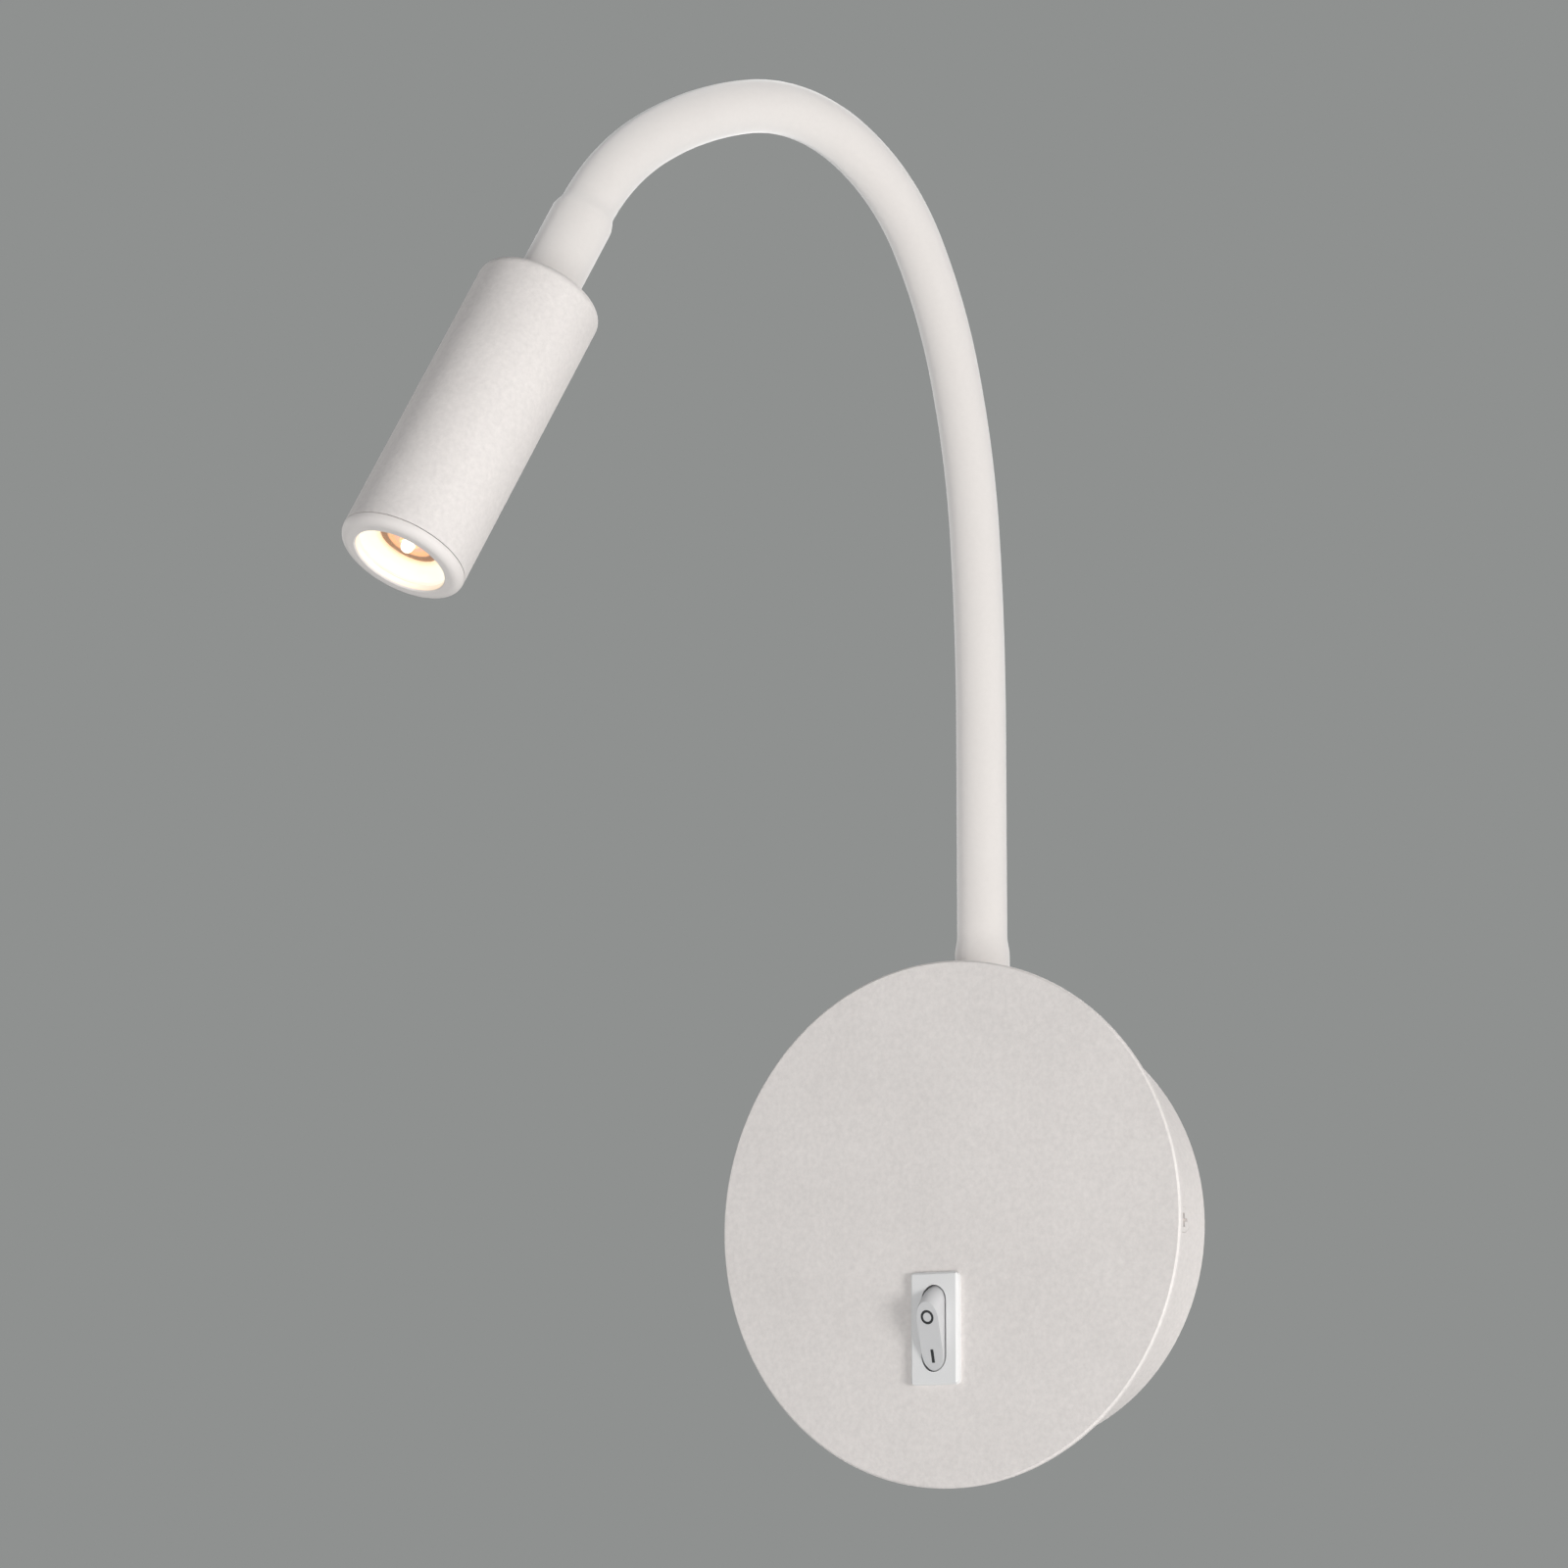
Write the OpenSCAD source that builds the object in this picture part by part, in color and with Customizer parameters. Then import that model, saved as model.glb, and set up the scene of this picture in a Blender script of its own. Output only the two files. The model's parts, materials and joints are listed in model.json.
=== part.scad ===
// Wall light: a round plate on a drum, a sleeved gooseneck arm, a cylindrical spot head and a rocker switch.
// The wall is the plane y = 0, the front looks along -Y, +Z is up and the origin is on the drum's axis.

/* [Drum and plate] */
// Diameter of the front plate
plate_d = 120; // [112:1:130]
// Thickness of the front plate
plate_t = 1.2; // [1:0.1:3]
// Bevel round the plate's front edge
plate_bevel = 0.4; // [0.2:0.1:0.8]
// Diameter of the drum
drum_d = 100; // [98:1:108]
// Depth of the drum from the wall to the plate
drum_depth = 29.5; // [28:0.1:34]
// Wall of the drum
drum_wall = 1.8; // [1.6:0.1:2.2]
// Width of the drum's inward flange behind the plate
flange_w = 9; // [8:0.5:9.5]
// Thickness of that flange
flange_t = 1.5; // [1.2:0.1:2.5]
// Diameter of the studs on the back of the plate
stud_d = 3; // [2.5:0.5:4]
// Length of the studs on the back of the plate
stud_len = 6; // [5:0.5:9]
// Diameter of the side screws
side_d = 3; // [2.5:0.5:4]
// Head diameter of the side screws
side_head_d = 5.6; // [5.2:0.1:6]
// Distance of the side screws from the wall
side_in = 10; // [8:0.5:12]

/* [Wall bracket] */
// Sheet thickness of the bracket
bracket_t = 2; // [1.5:0.1:2.5]
// Height of the strap across the drum
strap_h = 16; // [14:1:18]
// Width of the bracket's middle plate
middle_w = 44; // [40:1:46]
// Height of the bracket's middle plate
middle_h = 40; // [38:1:42]
// Length of the end tabs, from the wall
tab_len = 16; // [14:1:18]
// Distance of each fixing slot from the middle
slot_x = 31; // [30:0.5:33]
// Length of the fixing slots, end to end
slot_len = 11; // [9:0.5:12]
// Width of the fixing slots
slot_w = 4.6; // [4:0.1:5.5]
// Diameter of the cable hole
cable_hole_d = 14; // [12:0.5:15]
// Bore of the cable grommet
cable_d = 8; // [6:0.5:9]

/* [Switch] */
// Width of the switch frame
bezel_w = 12.4; // [12:0.1:14]
// Height of the switch frame
bezel_h = 25.5; // [25.2:0.1:28]
// Thickness of the switch frame
bezel_t = 1.5; // [1.2:0.1:2]
// Distance of the switch below the drum's axis
switch_drop = 23.9; // [22:0.1:24.5]
// Distance of the switch to the right of the drum's axis
switch_side = -2.6; // [-6:0.1:6]
// Depth of the rocker's pivot behind the frame's front
pivot_in = 5; // [4.8:0.1:5.4]
// Radius of the rocker's rim round its pivot
rocker_r = 10.6; // [10.5:0.05:11.1]
// Width of the rocker
rocker_w = 5.6; // [5.4:0.1:7]
// Distance of the rocker's face from the pivot
face_in = 7; // [6.6:0.05:8]
// Tilt of the rocker either side of level
rocker_tilt = 15.7; // [12:0.1:16]
// Tilt of the contact lever either side of level
lever_tilt = 8; // [6:0.5:9]

/* [Arm] */
// Distance of the arm's axis from the wall
arm_in = 13.7; // [12.5:0.1:15]
// Turn of the arm's plane about the vertical
arm_swing = -20; // [-60:1:60]
// Height of the first bending station above the drum
stub_len = 22; // [20:0.5:28]
// Length of the straight riser link
riser_len = 44; // [30:1:60]
// Length of the leaning link above it
lean_len = 46; // [30:1:60]
// Length of the shoulder link
shoulder_len = 40; // [30:1:50]
// Length of each of the four arch links
arch_len = 30; // [26:0.5:36]
// Length of the curved link next to the head
drop_len = 27.2; // [24:0.1:40]
// Bend of the leaning link
lean_turn = 4.1; // [1:0.1:20]
// Bend of the shoulder link
shoulder_turn = 10.2; // [1:0.1:25]
// Bend of the first arch link
arch_turn_1 = 14; // [1:0.1:30]
// Bend of the second arch link
arch_turn_2 = 33.6; // [1:0.1:40]
// Bend of the third arch link
arch_turn_3 = 42.1; // [1:0.1:44]
// Bend of the fourth arch link
arch_turn_4 = 19.8; // [1:0.1:40]
// Bend of the link next to the head
drop_turn = 26.2; // [1:0.1:40]
// Outer diameter of the sleeve
sleeve_d = 11.6; // [11.4:0.1:13]
// Extra diameter that the sleeve gains over the arch
sleeve_flare = 1; // [0:0.1:1.4]
// Wall of the sleeve
sleeve_wall = 0.8; // [0.6:0.05:0.9]
// Outer diameter of the core's tube
core_d = 5.2; // [4.8:0.1:5.4]
// Bore of the core's tube
core_bore = 3.6; // [3.2:0.1:3.8]
// Diameter of the core's balls
ball_d = 7.8; // [7.6:0.1:7.9]
// Diameter of the wires of the lamp's low-voltage pair
pair_d = 1.3; // [1:0.1:1.4]

/* [Head] */
// Diameter of the head
head_d = 29; // [28:0.5:34]
// Length of the head
head_len = 74.8; // [72:0.1:95]
// Wall of the head's housing
head_wall = 1.6; // [1.2:0.1:2]
// Thickness of the housing's closed end
head_end_t = 3; // [2.5:0.5:4]
// Rounding of the housing's closed end
head_round = 2.2; // [1:0.1:2.6]
// Straight length of the arm before the head
neck_len = 24.5; // [20:0.5:28]
// Visible height of the front ring
ring_h = 2.2; // [2.1:0.1:3]
// Diameter of the front ring's opening
opening_d = 21.2; // [19:0.2:21.6]
// Thickness of the lens
lens_t = 1.6; // [1.2:0.1:2]
// Depth of the reflector
reflector_h = 3.1; // [3:0.1:4]
// Diameter of the hole in the reflector's floor
reflector_hole_d = 13.5; // [11:0.5:14]
// Width of the light source
chip_w = 3.5; // [2.5:0.1:5]
// Diameter of the light source's dome
dome_d = 2.8; // [2:0.1:3.2]
// Length of the heat sink
sink_len = 22; // [16:1:26]

/* [Clearances] */
// Radial clearance of pieces fitted into each other
fit = 0.02; // [0.01:0.01:0.04]
// Radial clearance of pins that turn
running = 0.05; // [0.03:0.01:0.08]
// Gap between pieces that move past each other
gap = 0.3; // [0.25:0.05:0.4]

/* [Hidden] */
$fn = 64;
white = "whitesmoke";
past = 1;

// Drum and plate
drum_r = drum_d / 2;
drum_in = drum_r - drum_wall;
plate_front = drum_depth + plate_t;
stud_ring = drum_in - flange_w / 2;
stud_angles = [30, 150, 270];
stud_nut_af = 1.83 * stud_d;
stud_nut_h = 0.8 * stud_d;
screw_clearance = 0.2;
side_head_h = (side_head_d - side_d) / 2;
side_seat = drum_r - running;

// Ferrule at the foot of the arm
spot_depth = 1;
spot_d = 17;
pad_w = 22;
pad_t = 2.7;
thread_d = 10;
thread_nut_af = 14;
thread_nut_h = 4;
wire_bore = 4;
foot_flange_d = 15;
foot_flange_t = 1.5;
foot_spigot_d = 11;
foot_spigot_len = 12.5;
foot_thread_len = 8;
washer_t = 1;
washer_d = 17;
spot_z = drum_r - spot_depth;
pad_z = spot_z - pad_t;
spigot_z = spot_z + foot_flange_t;
spigot_top = spigot_z + foot_spigot_len;
foot_low = pad_z - foot_thread_len;
core_seat = 10;
foot_taper = 4;
sleeve_ease = 0.05;

// Wall bracket and what it carries
corner_r = 4;
tab_x = sqrt(pow(drum_in, 2) - pow(strap_h / 2, 2)) - gap;
grommet_lip = 1.5;
grommet_lip_t = 2;
block_w = 26;
block_h = 10;
block_base = 5;
block_tall = 11;
pole_pitch = 8;
pole_w = 6.6;
pole_bore_d = 3;
pole_screw_d = 3.2;
pole_depth = 4.5;
block_z = cable_hole_d / 2 + grommet_lip + gap;
earth_x = 15;
earth_d = 4;
earth_head_d = 7;
earth_head_t = 2.4;
earth_washer_d = 9;

// Driver behind the plate
driver_w = 46;
driver_h = 17;
driver_t = 12;
driver_edge = 2;
driver_room = 8.3;
driver_z = foot_low - driver_room - driver_h;

// Switch
bezel_edge = 0.5;
bezel_corner = 1.2;
body_w = 10;
body_wall = 0.7;
body_depth = 17.2;
rim_in = rocker_r - rocker_w / 2;
rocker_gap = 0.45;
body_h = 2 * (rocker_r + rocker_gap + body_wall);
cutout_gap = 0.1;
pivot_d = 2.4;
pivot_y = -plate_front - bezel_t + pivot_in;
body_back = body_depth + bezel_t - pivot_in;
rocker_back = 2.2;
plunger_d = 2;
plunger_reach = 6.7;
plunger_sink = 4;
lever_in = 7.6;
lever_len = 11.4;
lever_w = 2.8;
lever_t = 0.6;
lever_pin_d = 1;
pin_end = 0.4;
contact_d = 2;
contact_z = 4.8;
blade_w = 4;
blade_t = 0.8;
blade_len = 7;
lug_w = 4;
lug_out = 0.6;
lug_len = 2.5;

// Arm: headings and places of the bending stations in the arm's own plane
link_len = [riser_len, lean_len, shoulder_len, arch_len, arch_len, arch_len, arch_len, drop_len];
link_turn = [0, lean_turn, shoulder_turn, arch_turn_1, arch_turn_2, arch_turn_3, arch_turn_4, drop_turn];
last = len(link_len);
joint_z = drum_r + stub_len;
sleeve_bore = sleeve_d - 2 * sleeve_wall;
arch_from = 3;
function sleeve_at(k) = sleeve_d + sleeve_flare * max(0, k - arch_from) / (last - 1 - arch_from);
cup_d = sleeve_bore - 2 * gap;
cup_lip = 0.8;
cup_floor = 0.6;
ball_r = ball_d / 2;
ball_bore = core_bore + 0.6;
neck_from = ball_r + 0.1;
pair_pitch = pair_d + 0.2;
function sum_to(v, k) = k <= 0 ? 0 : v[k - 1] + sum_to(v, k - 1);
function heading(k) = sum_to(link_turn, k);
function radius(k) = link_len[k] * 180 / (PI * link_turn[k]);
function chord(k) = link_turn[k] == 0
    ? link_len[k] * [sin(heading(k)), cos(heading(k))]
    : radius(k) * [cos(heading(k)) - cos(heading(k + 1)), sin(heading(k + 1)) - sin(heading(k))];
function station(k) = k == 0 ? [0, 0] : station(k - 1) + chord(k - 1);

// Head, measured along its axis from its closed end
head_r = head_d / 2;
head_in = head_r - head_wall;
groove = 0.2;
ring_round = 2.1;
lip_t = 1.6;
lip_bevel = 0.3;
lens_lip = 1.3;
lens_d = opening_d + 2 * lens_lip;
ring_z = head_len - ring_h;
lens_z = head_len - lip_t - lens_t - 2 * running;
reflector_z = lens_z - reflector_h - running;
reflector_wall = 0.7;
reflector_rim = 0.8;
reflector_lift = 0.5;
reflector_steps = 8;
board_t = 1.6;
board_gap = 0.6;
board_z = reflector_z - board_t;
ring_foot = reflector_z + gap;
chip_t = 0.7;
dome_lift = 0.65;
sink_z = board_z - sink_len;
sink_disc = 5;
fin_t = 1.3;
fin_pitch = 3;
fin_count = 2;
wire_way_d = 4;
wire_way_r = head_in - 3;
board_screw_d = 2.5;
board_screw_head_d = 4.2;
board_screw_head_t = 1;
board_screw_len = 6;
board_screw_r = 9.8;
ferrule_d = 12.8;
ferrule_from = 2.1;
ferrule_thread = 10;
ferrule_seat = 9;
ferrule_bevel = 0.8;
swell_from = 0.3;
end_lap = 0.6;
end_step = 0.3;
core_end_d = core_d + end_step;

// Wires: ends follow what they meet, points between are round numbers, corners are cut twice to round them
mains_d = 1.8;
wire_sides = 8;
wire_gap = 0.1;
pair_lead = 6;
head_lead = 8;
pole_y = -bracket_t - block_base;
pole_z = block_z + block_h / 2;
pole_reach = 5;
pole_out = block_z + block_h + pole_reach;
blade_y = pivot_y + body_back + blade_len + mains_d / 2 + wire_gap;
live_z = contact_z - switch_drop;
driver_x = driver_w / 2 + 2 * wire_gap;
driver_y = -drum_depth + driver_t * 2 / 3;
driver_mid = driver_z + driver_h / 2;
tag_x = earth_x + earth_head_d / 2 + wire_gap;
tag_y = -bracket_t - washer_t - mains_d / 2 - wire_gap;
live_route = [[-pole_pitch, pole_y, pole_z], [-pole_pitch, pole_y, pole_out], [-20, -8, 25], [-33, -10, 12],
    [-33, -11, -10], [-20, -8, -19], [switch_side - 4, blade_y, live_z],
    [switch_side + 1.5, blade_y, live_z]];
switched_route = [[switch_side - 1.5, blade_y, -switch_drop], [6, blade_y, -25], [24, -7, -22], [33, -14, -5],
    [35, -20, 14], [30, driver_y, driver_mid], [driver_x, driver_y, driver_mid]];
neutral_route = [[0, pole_y, pole_z], [0, pole_y, pole_out], [-10, -8, 32], [-26, -12, 29],
    [-30, driver_y, driver_mid], [-driver_x, driver_y, driver_mid]];
earth_route = [[pole_pitch, pole_y, pole_z], [pole_pitch, pole_y, pole_out], [20, -6, 25], [32, -6, 12],
    [30, -5, -10], [24, tag_y, -earth_x], [tag_x, tag_y, -earth_x]];
function cut_corners(p) = concat(
    [p[0]],
    [for (i = [0:len(p) - 2]) each [0.75 * p[i] + 0.25 * p[i + 1], 0.25 * p[i] + 0.75 * p[i + 1]]],
    [p[len(p) - 1]]
);
function unit(v) = v / norm(v);
function run_at(p, i) = unit(p[min(i + 1, len(p) - 1)] - p[max(i - 1, 0)]);
function square_to(v, t) = unit(v - (v * t) * t);
function side_at(p, i) = i == 0
    ? square_to(abs(run_at(p, 0)[2]) > 0.7 ? [1, 0, 0] : [0, 0, 1], run_at(p, 0))
    : square_to(side_at(p, i - 1), run_at(p, i));

// Shared shapes

module turned_y() {
    rotate([90, 0, 0]) children();
}

module rounded_plate(w, h, r) {
    square([w - 2 * r, h], center = true);
    square([w, h - 2 * r], center = true);
    for (x = [-1, 1], y = [-1, 1]) translate([x * (w / 2 - r), y * (h / 2 - r)]) circle(r);
}

module wire(route, d) {
    p = cut_corners(cut_corners(route));
    n = len(p);
    sides = [for (i = [0:n - 1]) side_at(p, i)];
    points = [for (i = [0:n - 1], j = [0:wire_sides - 1])
        let (a = 360 * j / wire_sides)
        p[i] + d / 2 * (cos(a) * sides[i] + sin(a) * cross(run_at(p, i), sides[i]))];
    skin = [for (i = [0:n - 2], j = [0:wire_sides - 1])
        let (k = (j + 1) % wire_sides, a = i * wire_sides, b = a + wire_sides)
        each [[a + j, b + j, b + k], [a + j, b + k, a + k]]];
    caps = [[for (j = [0:wire_sides - 1]) j], [for (j = [wire_sides - 1:-1:0]) (n - 1) * wire_sides + j]];
    polyhedron(points, concat(skin, caps));
}

module tube_section(outer, bore) {
    difference() {
        circle(d = outer);
        circle(d = bore);
    }
}

module pair_section() {
    for (s = [-1, 1]) translate([0, s * pair_pitch / 2]) circle(d = pair_d);
}

module tube(outer, bore, from, to) {
    translate([0, 0, from]) linear_extrude(to - from) tube_section(outer, bore);
}

module hex_nut(thread, flats, height) {
    difference() {
        cylinder(d = flats / cos(30), h = height, $fn = 6);
        translate([0, 0, -past]) cylinder(d = thread + 2 * fit, h = height + 2 * past);
    }
}

// Frame of bending station k: +Z runs along the arm and -Y points into the bend
module at_station(k) {
    translate([0, -arm_in, joint_z]) rotate([0, 0, arm_swing])
        translate([0, -station(k)[0], station(k)[1]]) rotate([heading(k), 0, 0]) children();
}

module on_head() {
    at_station(last) translate([0, 0, neck_len]) children();
}

module on_foot() {
    translate([0, -arm_in, 0]) children();
}

module along(k, from, to) {
    if (link_turn[k] == 0)
        translate([0, 0, from]) rotate([0, 0, 90]) linear_extrude(to - from) children();
    else
        translate([0, -radius(k), 0]) rotate([from / radius(k) * 180 / PI, 0, 0]) rotate([90, 0, 90])
            rotate_extrude(angle = (to - from) / radius(k) * 180 / PI) translate([radius(k), 0]) children();
}

module at_pivot() {
    translate([switch_side, pivot_y, -switch_drop]) children();
}

// Solid swept by the rocker's rounded rim about its pivot
module rocker_sweep(clear) {
    rotate([0, 90, 0]) rotate_extrude() {
        translate([0, -rocker_w / 2 - clear]) square([rim_in, rocker_w + 2 * clear]);
        intersection() {
            translate([rim_in, 0]) circle(rocker_w / 2 + clear);
            translate([rim_in / 2, -rocker_w]) square([rocker_r, 2 * rocker_w]);
        }
    }
}

// Edge of the switch frame, standing out along -Y
module bevelled_edge(w) {
    polygon([
        [-w / 2, 0], [w / 2, 0], [w / 2, bezel_edge - bezel_t], [w / 2 - bezel_edge, -bezel_t],
        [bezel_edge - w / 2, -bezel_t], [-w / 2, bezel_edge - bezel_t]
    ]);
}

module at_poles() {
    for (i = [-1:1]) translate([i * pole_pitch, 0, block_z + block_h / 2]) children();
}

module at_studs() {
    for (a = stud_angles) translate([stud_ring * cos(a), 0, stud_ring * sin(a)]) children();
}

module at_board_screws() {
    for (a = [120, 240]) rotate([0, 0, a]) translate([board_screw_r, 0, 0]) children();
}

// Drum and plate

module front_plate() {
    color(white) {
        difference() {
            turned_y() rotate_extrude() polygon([
                [0, drum_depth], [plate_d / 2, drum_depth], [plate_d / 2, plate_front - plate_bevel],
                [plate_d / 2 - plate_bevel, plate_front], [0, plate_front]
            ]);
            translate([switch_side, -plate_front, -switch_drop])
                cube([body_w + 2 * cutout_gap, 4 * plate_t, body_h + 2 * cutout_gap], center = true);
        }
        translate([0, -drum_depth + stud_len, 0]) at_studs() turned_y()
            cylinder(d = stud_d, h = stud_len + plate_t / 2);
    }
}

module plate_nuts() {
    color("silver") at_studs() translate([0, -drum_depth + flange_t + stud_nut_h, 0])
        turned_y() hex_nut(stud_d, stud_nut_af, stud_nut_h);
}

module drum() {
    color(white) difference() {
        union() {
            turned_y() rotate_extrude() polygon([
                [drum_in, 0], [drum_r, 0], [drum_r, drum_depth], [drum_in - flange_w, drum_depth],
                [drum_in - flange_w, drum_depth - flange_t], [drum_in, drum_depth - flange_t]
            ]);
            intersection() {
                translate([-pad_w / 2, -arm_in - spot_d / 2, pad_z]) cube([pad_w, spot_d, drum_r]);
                turned_y() cylinder(r = drum_r - drum_wall / 2, h = drum_depth);
            }
        }
        on_foot() {
            translate([0, 0, spot_z]) cylinder(d = spot_d, h = drum_r);
            translate([0, 0, pad_z - past]) cylinder(d = thread_d + 2 * screw_clearance, h = drum_r);
        }
        at_studs() turned_y() cylinder(d = stud_d + 2 * screw_clearance, h = drum_depth + past);
        for (s = [0, 1]) mirror([s, 0, 0]) translate([0, -side_in, 0]) rotate([0, 90, 0]) {
            cylinder(d = side_d + 2 * screw_clearance, h = drum_r + past);
            translate([0, 0, side_seat - side_head_h]) cylinder(
                d1 = side_d + 2 * screw_clearance, d2 = side_head_d + side_d + 2 * screw_clearance,
                h = side_head_d / 2
            );
        }
    }
}

module side_screws() {
    tip = tab_x - 3 * bracket_t;
    neck = side_seat - side_head_h;
    color("silver") for (s = [0, 1]) mirror([s, 0, 0]) translate([0, -side_in, 0]) rotate([0, 90, 0]) {
        translate([0, 0, neck]) cylinder(d1 = side_d, d2 = side_head_d, h = side_head_h);
        translate([0, 0, tip]) cylinder(d = side_d, h = neck - tip);
    }
}

// Wall bracket and what it carries

module wall_bracket() {
    color("silver") difference() {
        union() {
            turned_y() linear_extrude(bracket_t) {
                square([2 * tab_x, strap_h], center = true);
                rounded_plate(middle_w, middle_h, corner_r);
            }
            for (s = [0, 1]) mirror([s, 0, 0]) translate([tab_x - bracket_t, -tab_len, -strap_h / 2])
                cube([bracket_t, tab_len, strap_h]);
        }
        translate([0, past, 0]) turned_y() {
            cylinder(d = cable_hole_d, h = bracket_t + 2 * past);
            translate([earth_x, -earth_x, 0]) cylinder(d = earth_d + 2 * fit, h = bracket_t + 2 * past);
            for (s = [-1, 1]) translate([s * slot_x, 0, 0]) linear_extrude(bracket_t + 2 * past)
                rounded_plate(slot_len, slot_w, slot_w / 2 - fit);
        }
        for (s = [0, 1]) mirror([s, 0, 0]) translate([tab_x - 2 * bracket_t, -side_in, 0]) rotate([0, 90, 0])
            cylinder(d = side_d + 2 * fit, h = 3 * bracket_t);
    }
}

module cable_grommet() {
    neck_r = cable_hole_d / 2 - running;
    lip_r = cable_hole_d / 2 + grommet_lip;
    color("dimgray") turned_y() rotate_extrude() polygon([
        [cable_d / 2, 0], [neck_r, 0], [neck_r, bracket_t], [lip_r, bracket_t],
        [lip_r, bracket_t + grommet_lip_t], [cable_d / 2, bracket_t + grommet_lip_t]
    ]);
}

module terminal_block() {
    color("ivory") difference() {
        union() {
            translate([-block_w / 2, -bracket_t - block_base, block_z]) cube([block_w, block_base, block_h]);
            at_poles() translate([-pole_w / 2, -bracket_t - block_tall, -block_h / 2])
                cube([pole_w, block_tall, block_h]);
        }
        at_poles() {
            translate([0, -bracket_t - block_base, -block_h]) cylinder(d = pole_bore_d, h = 2 * block_h);
            translate([0, -bracket_t - block_base, 0]) turned_y() cylinder(d = pole_screw_d, h = block_tall);
        }
    }
}

module terminal_screws() {
    color("silver") at_poles() translate([0, -bracket_t - block_tall + pole_depth, 0])
        turned_y() cylinder(d = pole_screw_d - 2 * running, h = pole_depth - 1);
}

module earth_screw() {
    color("gold") translate([earth_x, 0, -earth_x]) turned_y() {
        cylinder(d = earth_d, h = bracket_t + past);
        translate([0, 0, bracket_t]) cylinder(d = earth_washer_d, h = washer_t);
        translate([0, 0, bracket_t + washer_t]) cylinder(d = earth_head_d, h = earth_head_t);
    }
}

module driver_case() {
    color("gainsboro") translate([0, -drum_depth + driver_t, driver_z + driver_h / 2]) turned_y() {
        linear_extrude(driver_t) rounded_plate(driver_w, driver_h, driver_edge);
    }
}

module wire_live() {
    color("saddlebrown") wire(live_route, mains_d);
}

module wire_switched() {
    color("black") wire(switched_route, mains_d);
}

module wire_neutral() {
    color("royalblue") wire(neutral_route, mains_d);
}

module wire_earth() {
    color("yellowgreen") wire(earth_route, mains_d);
}

module wires_base() {
    top = joint_z - gap / 2;
    mid = (driver_y - arm_in) / 2;
    color("ivory") for (s = [-1, 1]) {
        x = s * pair_pitch / 2;
        wire([
            [x, driver_y, driver_z + driver_h + running], [x, driver_y, foot_low - pair_lead],
            [x, mid, foot_low - pair_lead / 2], [x, -arm_in, foot_low - pair_lead / 3],
            [x, -arm_in, foot_low + pair_lead / 2], [x, -arm_in, top]
        ], pair_d);
    }
}

// Switch

module switch_body() {
    color("aliceblue") difference() {
        union() {
            translate([switch_side, -plate_front, -switch_drop]) intersection() {
                turned_y() linear_extrude(bezel_t) rounded_plate(bezel_w, bezel_h, bezel_corner);
                rotate([0, 90, 0]) linear_extrude(bezel_w, center = true) bevelled_edge(bezel_h);
                linear_extrude(bezel_h, center = true) bevelled_edge(bezel_w);
            }
            translate([switch_side - body_w / 2, -plate_front, -switch_drop - body_h / 2])
                cube([body_w, body_depth, body_h]);
            for (s = [0, 1]) translate([switch_side, 0, -switch_drop]) mirror([0, 0, s])
                translate([0, -drum_depth + cutout_gap, body_h / 2]) rotate([0, 90, 0])
                    linear_extrude(lug_w, center = true) polygon([[past, 0], [-lug_out, 0], [past, lug_len]]);
        }
        at_pivot() {
            rocker_sweep(rocker_gap);
            rotate([0, 90, 0]) cylinder(d = pivot_d + 2 * running, h = 2 * body_w, center = true);
            translate([0, lever_in, 0]) rotate([0, 90, 0])
                cylinder(d = lever_pin_d + 2 * running, h = 2 * body_w, center = true);
            for (z = [0, contact_z]) translate([0, body_depth, z]) turned_y()
                cylinder(d = contact_d + 2 * fit, h = body_depth - lever_in);
        }
    }
}

module switch_terminals() {
    lever_edge = lever_in + (contact_z + contact_d / 2) * tan(lever_tilt) + lever_t;
    fronts = [lever_in + lever_pin_d / 2 + gap, lever_edge + gap];
    color("goldenrod") at_pivot() for (i = [0, 1]) translate([0, body_back, i * contact_z]) {
        turned_y() cylinder(d = contact_d, h = body_back - fronts[i]);
        translate([-blade_w / 2, 0, -blade_t / 2]) cube([blade_w, blade_len, blade_t]);
    }
}

module switch_rocker() {
    color("gainsboro") at_pivot() rotate([rocker_tilt, 0, 0]) difference() {
        union() {
            intersection() {
                rocker_sweep(0);
                translate([-rocker_w, -face_in, -2 * rocker_r])
                    cube([2 * rocker_w, face_in + rocker_back, 4 * rocker_r]);
            }
            rotate([0, 90, 0]) cylinder(d = pivot_d, h = body_w - 2 * pin_end, center = true);
        }
        translate([0, rocker_back + past, 0]) turned_y()
            cylinder(d = plunger_d + 2 * fit, h = plunger_sink + past);
    }
}

module rocker_plunger() {
    from = rocker_back - plunger_sink + running;
    color("silver") at_pivot() rotate([rocker_tilt, 0, 0]) {
        translate([0, plunger_reach - plunger_d / 2, 0]) {
            turned_y() cylinder(d = plunger_d, h = plunger_reach - plunger_d / 2 - from);
            sphere(d = plunger_d);
        }
    }
}

module contact_lever() {
    color("goldenrod") at_pivot() translate([0, lever_in, 0]) rotate([-lever_tilt, 0, 0]) {
        cube([lever_w, lever_t, lever_len], center = true);
        rotate([0, 90, 0]) cylinder(d = lever_pin_d, h = body_w - 2 * pin_end, center = true);
    }
}

// Foot of the arm

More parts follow.
